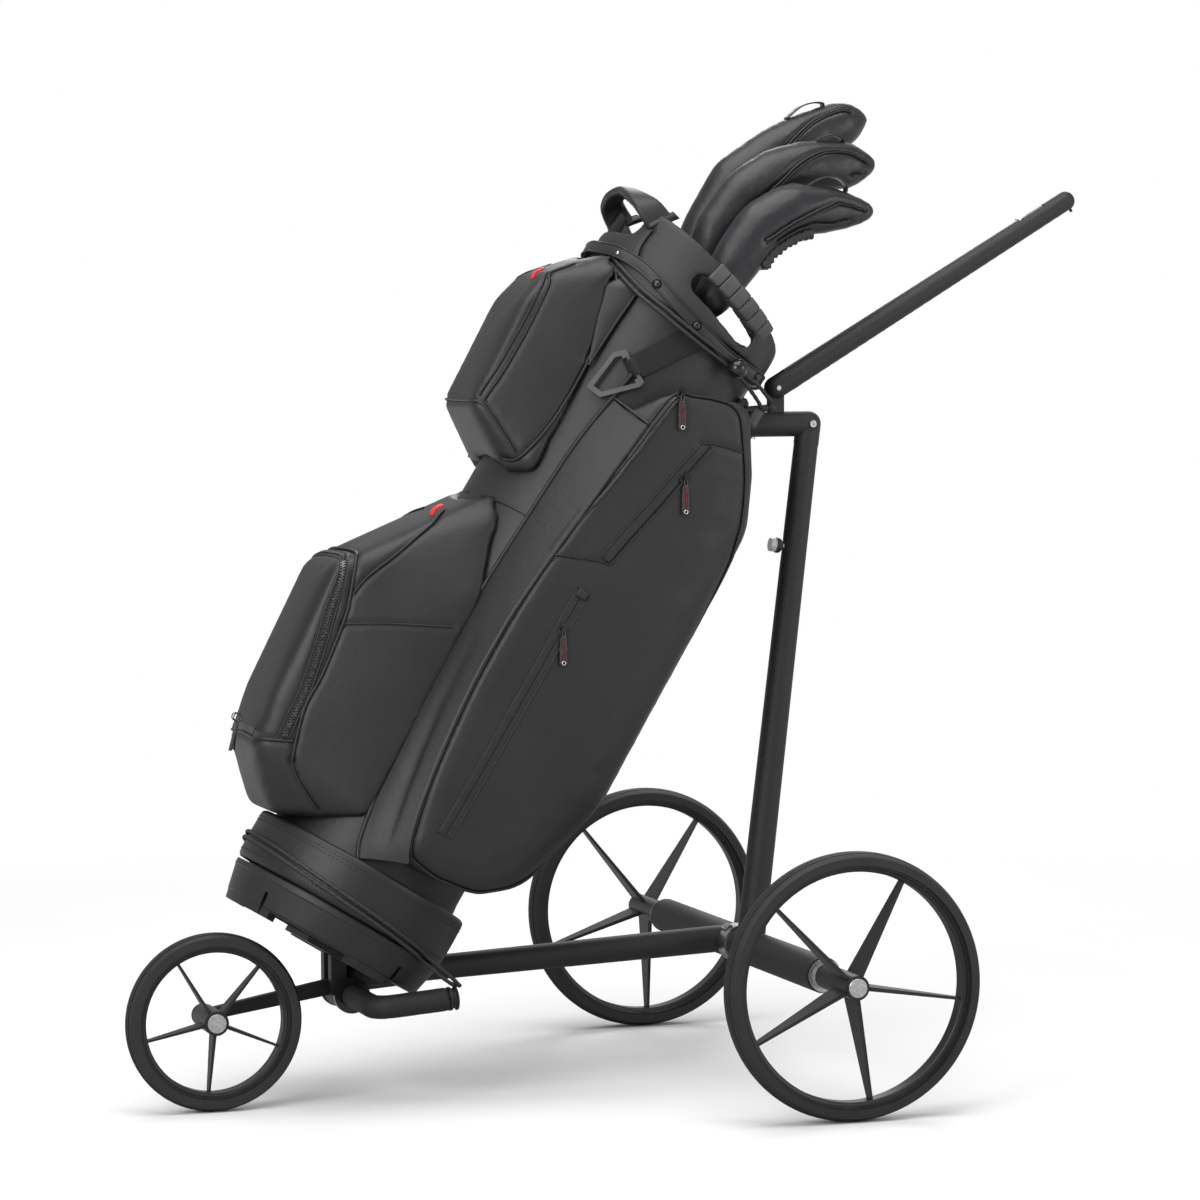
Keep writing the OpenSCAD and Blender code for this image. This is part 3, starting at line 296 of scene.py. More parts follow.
def round_bag(angle, radius, height):
    """A point by its angle from the bag's front, positive towards the far side."""
    a = math.radians(angle)
    return at_bag(radius * math.cos(a), radius * math.sin(a), height)


def on_side(side, *points):
    """Points on one side of the bag, near (-1) or far (1)."""
    return [at_bag(f, side * y, s) for f, y, s in points]


def mirrored(*points):
    """Points along the near side of the bag, and the same points on its far side."""
    return [on_side(-1, *points), on_side(1, *points)]


def across(*points):
    """One line that runs up the near side, over the front and down the far side."""
    return on_side(-1, *points) + on_side(1, *[p for p in reversed(points) if p[1]])


# %% [markdown]
# Lines and meshes. A "laid" line lies on a surface: each of its points is a pair of a place
# and the outward normal there. A frame is a place with the directions of a profile's x and y.

# %% Small workshop
def smooth_line(points, step=0.004):
    """A curve through the points, cut into short equal-looking steps."""
    line, last = [], len(points) - 1
    for i in range(last):
        a, b, c, d = (points[max(i - 1, 0)], points[i], points[i + 1], points[min(i + 2, last)])
        count = max(2, int((c - b).length / step))
        for k in range(count):
            t = k / count
            line.append(0.5 * (2 * b + (c - a) * t + (2 * a - 5 * b + 4 * c - d) * t * t
                               + (3 * b - a - 3 * c + d) * t ** 3))
    return line + [points[-1]]


def even_points(points, count):
    line = smooth_line(points, 0.003)
    return [line[round(i * (len(line) - 1) / (count - 1))] for i in range(count)]


def heading(line, i):
    """The direction in which a line runs at its point i."""
    return (line[min(i + 1, len(line) - 1)] - line[max(i - 1, 0)]).normalized()


def ellipse(x, y, steps=20, extra=0):
    """Pairs of x and y round an ellipse; one extra point closes it."""
    turns = [math.tau * k / steps for k in range(steps + extra)]
    return [(x * math.cos(a), y * math.sin(a)) for a in turns]


def shade_soft(mesh):
    mesh.polygons.foreach_set("use_smooth", [True] * len(mesh.polygons))


def add_piece(name, mesh, mat, body="frame", soft_shading=True):
    piece = link_object(name, mesh)
    mesh.materials.clear()
    mesh.materials.append(mat)
    if soft_shading:
        shade_soft(mesh)
    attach(piece, body)
    return piece


def to_mesh(bm, name):
    mesh = bpy.data.meshes.new(name)
    bmesh.ops.recalc_face_normals(bm, faces=bm.faces)
    bm.to_mesh(mesh)
    bm.free()
    return mesh


def baked(piece):
    """The piece's mesh with its modifiers applied, which are then taken off."""
    graph = bpy.context.evaluated_depsgraph_get()
    mesh = bpy.data.meshes.new_from_object(piece.evaluated_get(graph))
    piece.modifiers.clear()
    return mesh


def wire(name, line, radius, mat=None, body="frame", sides=4, closed=False):
    """A piece of round cord along a line, capped at both ends unless it is closed."""
    data = bpy.data.curves.new(name, "CURVE")
    data.dimensions, data.bevel_depth, data.bevel_resolution = "3D", radius, sides
    data.use_fill_caps = not closed
    run = data.splines.new("POLY")
    run.points.add(len(line) - 1)
    for point, place in zip(run.points, line):
        point.co = (*place, 1)
    run.use_cyclic_u = closed
    holder = link_object(name, data)
    mesh = baked(holder)
    bpy.data.objects.remove(holder)
    return add_piece(name, mesh, mat or piping, body)


def grid(rows, columns):
    """A grid of so many points by so many steps: its mesh, and (corner, row, 0 to 1 across)."""
    bm = bmesh.new()
    bmesh.ops.create_grid(bm, x_segments=rows - 1, y_segments=columns, size=0.5)
    return bm, [(v, round((v.co.x + 0.5) * (rows - 1)), v.co.y + 0.5) for v in bm.verts]


def solidified(bm, name, thickness, mat, body="frame"):
    """A piece made from a shaped grid by giving it a thickness."""
    bmesh.ops.solidify(bm, geom=bm.faces, thickness=thickness)
    return add_piece(name, to_mesh(bm, name), mat, body)


def swept(name, frames, profile, mat, body="frame", caps=True):
    """A closed profile carried along frames."""
    around = len(profile)
    bm, corners = grid(len(frames), around)
    for v, i, t in corners:
        x, y = profile[round(t * around) % around]
        place, x_way, y_way = frames[i]
        v.co = place + x_way * x + y_way * y
    bmesh.ops.remove_doubles(bm, verts=bm.verts, dist=1e-6)
    if caps:
        bmesh.ops.holes_fill(bm, edges=[e for e in bm.edges if e.is_boundary])
    return add_piece(name, to_mesh(bm, name), mat, body)


def flat_frames(path, flat, swell=lambda i: 1):
    """Frames along a path whose x keeps one direction."""
    return [(p, flat, flat.cross(heading(path, i)).normalized() * swell(i))
            for i, p in enumerate(path)]


def rounded(width, height, corner, steps=3):
    """A rectangle with round corners, as (x, y) points in metres."""
    points = []
    for k, (sx, sy) in enumerate(((1, 1), (-1, 1), (-1, -1), (1, -1))):
        for i in range(steps + 1):
            a = math.radians(90 * (k + i / steps))
            points.append((sx * (width / 2 - corner) + corner * math.cos(a),
                           sy * (height / 2 - corner) + corner * math.sin(a)))
    return points


def standing(place, along):
    """A matrix that takes a shape to a place and turns its z along a direction."""
    return Matrix.Translation(place) @ along.to_track_quat("Z", "Y").to_matrix().to_4x4()


def bead(name, place, normal, radius, height, mat, body="frame"):
    """A domed stud or rivet, half a squashed ball on the surface."""
    bm = bmesh.new()
    squash = Matrix.Diagonal((radius, radius, height, 1))
    bmesh.ops.create_uvsphere(bm, u_segments=16, v_segments=10, radius=1.0,
                              matrix=standing(place, normal) @ squash)
    return add_piece(name, to_mesh(bm, name), mat, body)


def skin_of(piece):
    """A search tree over a piece's surface."""
    mesh = piece.data
    return BVHTree.FromPolygons([v.co for v in mesh.vertices], [p.vertices for p in mesh.polygons])


def on_skin(skin, points, step=0.003):
    """The curve through the points as a laid line, with its normals evened out."""
    laid = [skin.find_nearest(p)[:2] for p in smooth_line(points, step)]
    for _ in range(4):
        turned = [(a[1] + 2 * b[1] + c[1]).normalized()
                  for a, b, c in zip(laid[:1] + laid, laid, laid[1:] + laid[-1:])]
        laid = [(place, normal) for (place, _), normal in zip(laid, turned)]
    return laid


def tree_of(places):
    """A tree that finds the nearest of some places."""
    tree = KDTree(len(places))
    for i, p in enumerate(places):
        tree.insert(p, i)
    tree.balance()
    return tree


# %% [markdown]
# A pocket is a padded leather form. Its solid gives the size. The copy is remeshed into even
# little quads, swollen a little by a cloth simulation while its seams are held, and then the
# seams are pressed into it, so that every panel crowns between its seams as on a sewn bag.

# %% Padded copies
swelling = []
seam_hold = 0.006
bag_skin, bag_core, bag_hold, rim_height = 0.1195, 0.09, 0.126, 0.84
cloth_frames = 16


def remeshed(name, source, mat, voxel, rounding, body="frame"):
    """A copy of a CAD node in even quads, with its edges rounded by smoothing."""
    bm = bmesh.new()
    bm.from_mesh(nodes[source].data)
    bmesh.ops.remove_doubles(bm, verts=bm.verts, dist=1e-6)
    piece = add_piece(name, to_mesh(bm, name), mat, body)
    remesh = piece.modifiers.new("even_quads", "REMESH")
    remesh.mode, remesh.voxel_size = "VOXEL", voxel
    mesh = baked(piece)
    bm = bmesh.new()
    bm.from_mesh(mesh)
    for _ in range(rounding):
        bmesh.ops.smooth_vert(bm, verts=bm.verts, factor=0.5, use_axis_x=True, use_axis_y=True,
                              use_axis_z=True)
    bm.to_mesh(piece.data)
    bm.free()
    bpy.data.meshes.remove(mesh)
    shade_soft(piece.data)
    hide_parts(source)
    return piece


def padded_copy(name, source, mat, seams, voxel, rounding, puff=0.005, fill=0.5, body="frame",
                sink=0.004):
    """A remeshed copy, ready to swell; its seams and its bag side are pinned."""
    piece = remeshed(name, source, mat, voxel, rounding, body)
    held = tree_of([p for s in seams for p in smooth_line(s)] + [Vector((9, 9, 9))])
    group = piece.vertex_groups.new(name="held")
    inverse = lean.inverted()
    for v in piece.data.vertices:
        q = inverse @ v.co
        r = math.hypot(q.x, q.y)
        if sink and bag_core < r < bag_skin and q.z < 0.79:
            v.co -= lean.to_3x3() @ Vector((q.x, q.y, 0)) * (sink / r)
            q = inverse @ v.co
        if math.hypot(q.x, q.y) < bag_hold and q.z < rim_height or held.find(v.co)[2] < seam_hold:
            group.add([v.index], 1.0, "REPLACE")
    start = [v.co.copy() for v in piece.data.vertices]
    cloth = piece.modifiers.new("swell", "CLOTH")
    cloth.settings.use_pressure = True
    cloth.settings.uniform_pressure_force = 3
    cloth.settings.vertex_group_mass = "held"
    cloth.settings.effector_weights.gravity = 0
    cloth.settings.tension_stiffness = cloth.settings.compression_stiffness = 25
    cloth.settings.bending_stiffness = 2
    cloth.point_cache.frame_start, cloth.point_cache.frame_end = 1, cloth_frames
    swelling.append((piece, start, puff, fill))
    return piece


def swell_all():
    """Steps the simulation once for every padded piece, then fixes the result."""
    scene = bpy.context.scene
    for count in range(1, cloth_frames + 1):
        scene.frame_set(count)
    for piece, start, puff, _ in swelling:
        mesh = baked(piece)
        for v, first, target in zip(piece.data.vertices, start, mesh.vertices):
            move = target.co - first
            if move.length > puff:
                move *= puff / move.length
            v.co = first + move
        fine = piece.modifiers.new("fine", "SUBSURF")
        fine.levels = fine.render_levels = 1
        piece.data = baked(piece)
        shade_soft(piece.data)
        print(piece.name, len(piece.data.polygons), "quads")
    scene.frame_set(1)


def press(piece, lines, depth=0.0016, reach=0.007):
    """Sinks the surface along laid lines, deepest on the line itself."""
    tree = tree_of([p for line in lines for p, _ in line])
    normals = [v.normal.copy() for v in piece.data.vertices]
    for v, n in zip(piece.data.vertices, normals):
        gap = tree.find(v.co)[2]
        if gap < reach:
            v.co -= n * depth * (1 - (gap / reach) ** 2) ** 2


def pipe_seam(name, line, radius=0.0016, lift=0.0002, mat=None, body="frame"):
    return wire(name, [p + n * lift for p, n in line], radius, mat, body)


def stations(line, pitch):
    """Even steps along a laid line: the place, and a matrix of along, across and out."""
    travelled, ahead = 0.0, 0.0
    for (a, out), (b, _) in zip(line, line[1:]):
        span = (b - a).length
        while ahead <= travelled + span and span > 0:
            along = (b - a) / span
            beside = out.cross(along).normalized()
            yield a + along * (ahead - travelled), Matrix((along, beside, out)).transposed()
            ahead += pitch
        travelled += span


def stitch_row(name, line, pitch, length, radius, mat=None, body="frame"):
    """Separate little stitches along a line, each a stretched bead half sunk in the leather."""
    bm = bmesh.new()
    for place, turn in stations(line, pitch):
        turn = Matrix.Translation(place + turn.col[2] * radius * 0.3) @ turn.to_4x4()
        bmesh.ops.create_uvsphere(bm, u_segments=6, v_segments=4, radius=1.0,
                                  matrix=turn @ Matrix.Diagonal((length / 2, radius, radius, 1)))
    return add_piece(name, to_mesh(bm, name), mat or thread, body)


def ribbon(name, line, half, mat, thick=0.0008, lift=0.0003, columns=6, skin=None, shift=0.0):
    """A flat strip that follows a surface: a grid whose rows are laid across the line."""
    bm, corners = grid(len(line), columns)
    places = [p for p, _ in line]
    for v, i, t in corners:
        place, normal = line[i]
        beside = normal.cross(heading(places, i)).normalized()
        spot = place + beside * ((2 * t - 1) * half + shift)
        if skin:
            spot, normal, _, _ = skin.find_nearest(spot)
        v.co = spot + normal * lift
    bmesh.ops.recalc_face_normals(bm, faces=bm.faces)
    return solidified(bm, name, thick, mat)


def teeth(name, line, pitch, size):
    """Two interlocking rows of moulded zip teeth along a line."""
    bm = bmesh.new()
    for k, (place, turn) in enumerate(stations(line, pitch / 2)):
        row = 0.3 if k % 2 == 0 else -0.3
        turn = Matrix.Translation(place + turn.col[1] * size[1] * row) @ turn.to_4x4()
        bmesh.ops.create_cube(bm, size=1.0, matrix=turn @ Matrix.Diagonal((*size, 1)))
    return add_piece(name, to_mesh(bm, name), gunmetal, soft_shading=False)


# %% [markdown]
# The bag's own tube is leather over a stiff liner. It is turned like a pot from one profile,
# with the padded band of the foot and an even wall. The keel passes through a notch in its
# back, and the rim's grab openings leave its top edge lower at the back.

# %% Bag tube
cut_height, cut_slope, tube_slack = 0.8367, 0.279, 0.0006
keel_rear, keel_front = Vector((0.168, 0.036, 0.153)), Vector((-0.307, 0.036, 0.131))
keel_radius, keel_front_radius = 0.0206, 0.0188


def bag_tube():
    """Spins (radius, height) points in millimetres round the bag's own middle line."""
    rows = [(113.2, 16), (116, 16), (116, 40), (129, 41), (131.4, 44)]
    rows += [(132 + 0.5 * math.sin(math.pi * (h - 44) / 52), h) for h in range(50, 97, 5)]
    rows += [(131.2, 98), (128, 100), (116.4, 100.5)]
    rows += [(116, h) for h in range(106, 832, 6)]
    rows += [(115.6, 834), (113.2, 834), (113.2, 16)]
    bm = bmesh.new()
    verts = [bm.verts.new((r / 1000, 0, h / 1000)) for r, h in rows]
    edges = [bm.edges.new(pair) for pair in zip(verts, verts[1:])]
    bmesh.ops.spin(bm, geom=verts + edges, cent=(0, 0, 0), axis=(0, 0, 1), steps=120,
                   angle=math.tau, use_merge=True)
    bmesh.ops.remove_doubles(bm, verts=bm.verts, dist=1e-5)
    for v in bm.verts:
        if 0 < v.co.x < 0.08:
            v.co.z = min(v.co.z, cut_height - cut_slope * v.co.x)
        outward = Vector((v.co.x, v.co.y, 0)).normalized()
        slack = noise.noise(v.co * 9) + 0.5 * noise.noise(v.co * 23)
        if 0.11 < v.co.z < 0.8:
            v.co -= outward * tube_slack * (1 + slack)
    bm.transform(lean)
    return add_piece("bag_tube", to_mesh(bm, "bag_tube"), leather)


def bored(piece, start, end, radius, far_radius):
    """The piece's mesh with a round channel cut through it from start to end."""
    along = end - start
    bm = bmesh.new()
    bmesh.ops.create_cone(bm, cap_ends=True, segments=48, radius1=radius, radius2=far_radius,
                          depth=along.length, matrix=standing((start + end) / 2, along))
    drill = link_object("drill", to_mesh(bm, "drill"))
    cut = piece.modifiers.new("channel", "BOOLEAN")
    cut.operation, cut.object, cut.solver = "DIFFERENCE", drill, "EXACT"
    mesh = baked(piece)
    bpy.data.objects.remove(drill)
    return mesh


tube_piece = bag_tube()
mesh = bored(tube_piece, keel_rear, keel_front, keel_radius, keel_front_radius)
tube_piece.data = mesh
mesh.materials.clear()
mesh.materials.append(leather)
shade_soft(mesh)
mesh.set_sharp_from_angle(angle=math.radians(50))
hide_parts("bag_shell")
print("bag tube", len(mesh.polygons), "faces")

# %% [markdown]
# The side pocket is a long case that stands off the bag: a soft gusset comes up from the bag
# and folds round into a flat outer panel. Corded piping runs where the gusset meets the bag
# and where it meets the panel. Three zips lie in narrow welts on each panel.

# %% Side pockets
def side_lines(side):
    """The pocket's seams by name."""
    return {
        "front_edge": on_side(side, (-8, 149, 745), (5, 148, 732), (14, 147, 654), (25, 147, 560),
                              (35, 146, 470), (39, 145, 400), (37, 145, 320), (27, 145, 225),
                              (12, 146, 150), (0, 146, 122)),
        "foot_edge": on_side(side, (0, 146, 122), (-20, 146, 117), (-50, 142, 116), (-84, 138, 128),
                             (-118, 132, 156), (-140, 126, 196), (-160, 120, 240), (-170, 118, 300)),
        "rear_edge": on_side(side, (-50, 148, 764), (-77, 148, 753), (-102, 146, 722),
                             (-130, 142, 680), (-150, 136, 630), (-164, 126, 560),
                             (-168, 120, 480), (-170, 118, 380), (-170, 118, 300)),
        "top_edge": on_side(side, (-8, 149, 745), (-24, 149, 756), (-50, 148, 764))}


root_radius = 119.6


def side_root(side):
    """Where the gusset meets the tube: the same line on both sides of the bag."""
    line = [(45, 730), (60, 632), (66, 526), (70, 420), (70, 330), (67, 238), (54, 131), (44, 100)]
    return [at_bag(f, side * math.sqrt(root_radius ** 2 - f * f), s) for f, s in line]


near_lines, far_lines = side_lines(-1), side_lines(1)
near_case, far_case = (
    padded_copy("side_case_" + label, "side_pocket_" + label, leather, list(lines.values()), 0.0065,
                10, puff=0.0012)
    for label, lines in (("near", near_lines), ("far", far_lines)))
side_cases = (("near", -1, near_case, near_lines), ("far", 1, far_case, far_lines))

# %% [markdown]
# The two front pockets hang one above the other. The upper one is a tall box with a cuff at
# its foot. The lower one carries a smaller zipped box with an open, lined cuff below it.

# %% Front pocket seams
upper_rear = mirrored((79, 94, 836), (81, 89, 818), (84, 85, 779), (86, 84, 740), (88, 86, 690),
                      (92, 88, 640), (99, 87, 603), (106, 80, 580), (116, 67, 574))
upper_front = mirrored((140, 42, 806), (165, 46, 786), (169, 60, 776), (168, 64, 755),
                       (166, 66, 715), (166, 66, 661), (169, 64, 621))
upper_cuff = [across((112, 82, 586), (129, 77, 597), (150, 70, 609), (168, 64, 617),
                     (179, 48, 615), (181, 0, 614))]
lower_zip = [across((178, 75, 179), (181, 77, 202), (184, 77, 236), (194, 74, 289), (204, 72, 330),
                    (208, 70, 356), (214, 56, 384), (214, 30, 390), (214, 0, 391))]
lower_outer = [across((158, 80, 158), (175, 79, 215), (177, 79, 260), (186, 77, 327),
                      (193, 74, 352), (206, 62, 394), (204, 30, 400), (204, 0, 401))]
lower_seam = mirrored((158, 80, 158), (142, 82, 143), (125, 82, 135), (104, 82, 126))
lower_tab = mirrored((140, 40, 494), (147, 62, 472), (166, 70, 424), (186, 74, 380),
                     (191, 75, 356))
lower_cuff = [across((168, 79, 178), (180, 75, 172), (202, 58, 161), (212, 40, 157), (216, 0, 156))]
lower_panel = mirrored((184, 77, 320), (150, 80, 340), (110, 92, 362), (78, 102, 379))
upper_case = padded_copy("upper_case", "upper_pocket", leather,
                         upper_rear + upper_front + upper_cuff, 0.006, 5, fill=0.6)
lower_case = padded_copy("lower_case", "lower_pocket", leather,
                         lower_zip + lower_outer + lower_tab + lower_cuff, 0.006, 8, fill=0.6)

# %% [markdown]
# Head covers are soft leather socks that bend over forward where the club head sits. With
# them all the padded pieces are there, and the simulation swells them together.

# %% Head covers
covers = [padded_copy("sock_" + word, "cover_" + word, soft_leather, [], 0.0055, 14, puff=0.004,
                      body="club_" + word, sink=0) for word in ("one", "two", "three")]
swell_all()

# %% [markdown]
# The padded collar is thick and firm, so it needs no simulation: its solid is remeshed finely
# enough to take seams, and smoothed so that every edge of it turns over softly.

# %% Collar and foam
collar = remeshed("collar_pad", "bag_collar", collar_leather, 0.0028, 8)
sleeve = remeshed("cradle_sleeve", "cradle_foam", foam, 0.0026, 2)

# %% [markdown]
# Seams are drawn once the forms are final. Each line is laid on the surface, the surface is
# pressed in along it, and a thin cord of piping or a row of stitches is set in the groove.

# %% Seams of the side pockets
for label, side, case, lines in side_cases:
    skin = skin_of(case)
    laid = {key: on_skin(skin, points) for key, points in lines.items()}
    crease = on_skin(skin, on_side(side, (42, 130, 295), (40, 123, 213), (33, 121, 160),
                                   (21, 118, 122)))
    flap = on_skin(skin, on_side(side, (-54, 150, 698), (-71, 150, 707), (-104, 146, 716)))
    shelf = on_skin(skin, on_side(side, (36, 147, 502), (10, 150, 512), (-15, 151, 522),
                                  (-31, 151, 526)))
    press(case, [*laid.values(), flap, shelf])
    press(case, [crease], 0.004, 0.012)
    for key, line in laid.items():
        pipe_seam(f"piping_{label}_{key}", line, 0.0018 if key == "foot_edge" else 0.0016)
    root = [(p, (p - at_bag(0, 0, 0)).normalized()) for p in smooth_line(side_root(side), 0.006)]
    pipe_seam(f"piping_{label}_root", root, 0.0027, 0.0)
    for key, line in (("flap", flap), ("shelf", shelf)):
        pipe_seam(f"fold_{label}_{key}", line, 0.0009, 0.0)

# %% [markdown]
# Each seam of the front pockets has its own thickness of piping. The front edge of the upper
# one is sewn twice, so a second line runs a few millimetres in front of the first.

# %% Seams of the front pockets
upper_second = mirrored((148, 40, 804), (172, 44, 788), (176, 57, 774), (174, 60, 752),
                        (173, 62, 715), (173, 62, 661), (176, 60, 624))
upper_skin, lower_skin = skin_of(upper_case), skin_of(lower_case)
for label, lines, radius in (
        ("upper_rear", upper_rear, 0.0019), ("upper_front", upper_front, 0.0015),
        ("upper_cuff", upper_cuff, 0.0015), ("lower_outer", lower_outer, 0.0018),
        ("lower_tab", lower_tab, 0.0015), ("lower_cuff", lower_cuff, 0.0015),
        ("lower_seam", lower_seam, 0.0012), ("lower_panel", lower_panel, 0.0008),
        ("upper_second", upper_second, 0.0012)):
    on_upper = label.startswith("upper")
    skin, case = (upper_skin, upper_case) if on_upper else (lower_skin, lower_case)
    laid = [on_skin(skin, points) for points in lines]
    press(case, laid)
    for i, line in enumerate(laid):
        pipe_seam(f"piping_{label}_{i + 1}", line, radius)

# %% [markdown]
# A zip is built up as it is sewn: a woven tape that follows the surface, a folded leather
# edge on each side of it and, in between, a slit or two interlocking rows of teeth.

# %% Zips on the panels
def on_panel(side, *points):
    """Points forward and up on the flat of a side pocket."""
    return [at_bag(f, side * 150, s) for f, s in points]


def zip_band(name, skin, points, half, slit, slit_radius, slit_lift):
    """A tape with a welt along each edge, and a dark slit of painted shade."""
    line = on_skin(skin, points)
    places = [p for p, _ in line]
    ribbon(name + "_tape", line, half, nylon, 0.0006, 0.0004)
    for i, side in enumerate((-1, 1)):
        edge = [skin.find_nearest(p + n.cross(heading(places, k)).normalized() * half * side)[:2]
                for k, (p, n) in enumerate(line)]
        pipe_seam(f"{name}_welt_{i + 1}", edge, 0.0011, 0.0004)
    # The slit is a thin near-black cord, painted shade in the gap of the zip.
    pipe_seam(name + "_slit", on_skin(skin, slit), slit_radius, slit_lift, painted_shade)


for label, side, case, _ in side_cases:
    # A shallow dip clears the upper slider at the low end of its run.
    press(case, [on_skin(skin_of(case), on_panel(side, (-5, 556), (-5, 532)))], 0.0015, 0.016)
    skin = skin_of(case)
    top = on_panel(side, (-4, 742), (0, 715), (4, 690), (10, 650), (17, 613), (26, 570), (33, 530),
                   (36, 496))
    low = on_panel(side, (-19.5, 483), (-19, 437), (-20, 390), (-20, 330), (-20, 250), (-19, 170))
    middle = on_panel(side, (-63, 702), (-54, 664), (-43, 612), (-32, 565), (-24, 527))
    run = on_panel(side, (-66, 700), (-58, 664), (-48, 612), (-37, 565), (-30, 528))
    for name, points, half, *slit in (("top", top, 0.0042, top, 0.0005, 0.0009),
                                      ("middle", middle, 0.0075, run, 0.0007, 0.0008),
                                      ("low", low, 0.0082, low, 0.0005, 0.0009)):
        zip_band(f"zip_{label}_{name}", skin, points, half, *slit)
    for name, ends in (("end", ((-9, 169), (-25, 171))), ("top", ((-11, 484), (-28, 485)))):
        pipe_seam(f"zip_{label}_low_{name}", on_skin(skin, on_panel(side, *ends)), 0.0011, 0.0004)
    garage = on_skin(skin, on_panel(side, (-19.6, 486), (-19.6, 481), (-19.6, 476)))
    ribbon(f"garage_{label}", garage, 0.0062, leather, 0.0022, 0.001, 8, skin)
    tab = on_skin(skin, on_side(side, (57, 118, 427), (52, 121, 426), (46, 126, 425)), 0.002)
    ribbon(f"side_tab_{label}", tab, 0.0055, webbing, 0.0012, 0.0008)
    for i, shift in enumerate((-0.0022, 0.0022)):
        ribbon(f"side_tab_stripe_{label}_{i + 1}", tab, 0.0009, red, 0.0003, 0.0021, 2, shift=shift)

# %% [markdown]
# The zipped box in the lower pocket has a coarse moulded zip: two rows of teeth stand on the
# tape, and a welt lies on each side of them.

# %% Toothed zip
line = on_skin(lower_skin, lower_zip[0], 0.003)
ribbon("zip_lower_tape", line, 0.0062, webbing, 0.0008, 0.0006, skin=lower_skin)
teeth("zip_lower_teeth", [(p + n * 0.0019, n) for p, n in line], 0.0034, (0.0019, 0.0036, 0.0016))
for k, (f, d) in enumerate(((7, 3), (-6, -3))):
    beside = across((178 + f, 75, 179 - d), (181 + f, 77, 202), (184 + f, 77, 236),
                    (194 + f, 74, 289), (204 + f, 72, 330), (209 + f * 0.8, 69, 356 + d),
                    (214, 54 - d, 384 + f), (214, 30, 390 + f), (214, 0, 391 + f))
    laid = on_skin(lower_skin, beside)
    press(lower_case, [laid], 0.001, 0.004)
    pipe_seam(f"zip_lower_welt_{k + 1}", laid, 0.0013)

# %% [markdown]
# Leather zip pulls hang straight down from their sliders on a wire link. Each is a padded
# strip with a waist, a stitched channel in red thread and an eyelet at its foot.

# %% Zip pulls
outward = Vector((0, -1, 0))
pull_length = 0.034


def half_width(t):
    """Half the pull's width at t, from 0 at the link to 1 at the foot."""
    body = 0.0038 + 0.0016 * t + 0.0007 * math.sin(math.pi * t) * (1 if t < 0.5 else 0.4)
    if t < 0.12:
        body *= 0.62 + 0.38 * math.sin(t / 0.12 * math.pi / 2)
    if t > 0.88:
        body *= math.sqrt(max(0.02, 1 - ((t - 0.88) / 0.12) ** 2))
    return body


def leather_pull(which, place):
    """One pull: place is the top of the strip, in the cart's frame."""
    body = "pull_" + which
    bm, corners = grid(9, 34)
    for v, i, rise in corners:
        t, aside = 1 - rise, i / 4 - 1
        x = aside * half_width(t)
        crown = 0.0011 * (1 - aside ** 4) * min(1, 8 * t, 8 * (1 - t))
        channel = 0.0006 * math.exp(-(x / 0.0011) ** 2) if 0.15 < t < 0.74 else 0
        v.co = place + Vector((x, channel - crown, -t * pull_length))
    strip = solidified(bm, "pull_strip_" + which, -0.0014, pull_leather, body)
    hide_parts(body)
    rows = [(place + Vector((0, -0.0012, -pull_length * (0.17 + 0.045 * k))), outward)
            for k in range(13)]
    stitch_row("pull_stitches_" + which, rows, 0.0021, 0.0014, 0.00045, red, body)
    eye = place + Vector((0, -0.0012, -pull_length * 0.875))
    spokes = [Vector((x, 0, z)) for x, z in ellipse(1, 1, extra=1)]
    swept("pull_eyelet_" + which, [(eye + spoke * 0.0021, spoke, outward) for spoke in spokes],
          ellipse(0.0006, 0.0006, 8), chrome, body, caps=False)
    # A near-black disc in the eyelet, painted shade where the hole is.
    bead("pull_hole_" + which, eye + Vector((0, 0.0003, 0)), outward, 0.0017, 0.0003, painted_shade,
         body)
    top = place + Vector((0, -0.0006, 0.0035))
    wire("pull_link_" + which, [top + Vector((x, 0, z)) for x, z in ellipse(0.0019, 0.0052)],
         0.0006, gunmetal, body, 3, True)


for which, forward, height in (("top", -5, 735), ("middle", -58, 655), ("low", -20, 436)):
    leather_pull(which, at_bag(forward, -153.7, height) + Vector((0, 0, -0.0085)))

# %% [markdown]
# The collar carries a flat strap round its lower edge, held by domed studs, and a soft ribbed
# grip over each grab opening. Angles are measured round the bag from its front.

# %% Collar seams
collar_skin = skin_of(collar)
seams = [on_skin(collar_skin, [round_bag(side * a, 124, s) for a, s in
                               ((37, 889), (36, 878), (36, 866), (38, 853))]) for _, side in sides]
press(collar, seams, 0.0018, 0.006)
# A thin near-black cord sunk in each groove is painted shade along the seam.
for i, line in enumerate(seams):
    pipe_seam(f"collar_seam_{i + 1}", line, 0.0009, -0.0006, painted_shade)

# %% [markdown]
# The strap runs all round the collar. In front it lies over the padded part, which stands out
# further than the rest; a smooth step in its radius takes it from one to the other.

# %% Collar strap
strap_run = [(0, 850), (10, 849), (20, 849.5), (28, 849.5), (37, 848), (48, 843), (57, 836),
             (69, 826), (81, 818), (95, 811), (109, 806.5), (127, 808), (140, 811), (160, 815),
             (180, 817)]
strap_radius, front_bulge, bulge_edge, bulge_slope = 121.6, 6.2, 33, 2.2
half = smooth_line([Vector((a, s, 0)) for a, s in strap_run], 3.0)
strap_frames = []
for angle, height in [(-p.x, p.y) for p in reversed(half)] + [(p.x, p.y) for p in half[1:]]:
    bulge = front_bulge / (1 + math.exp((abs(angle) - bulge_edge) / bulge_slope))
    out = (round_bag(angle, 1000, 0) - round_bag(angle, 0, 0)).normalized()
    strap_frames.append((round_bag(angle, strap_radius + bulge, height), out,
                         toward(0, 0, 1000).normalized()))
swept("collar_strap", strap_frames, rounded(0.0082, 0.0115, 0.0016), leather,
      caps=False)
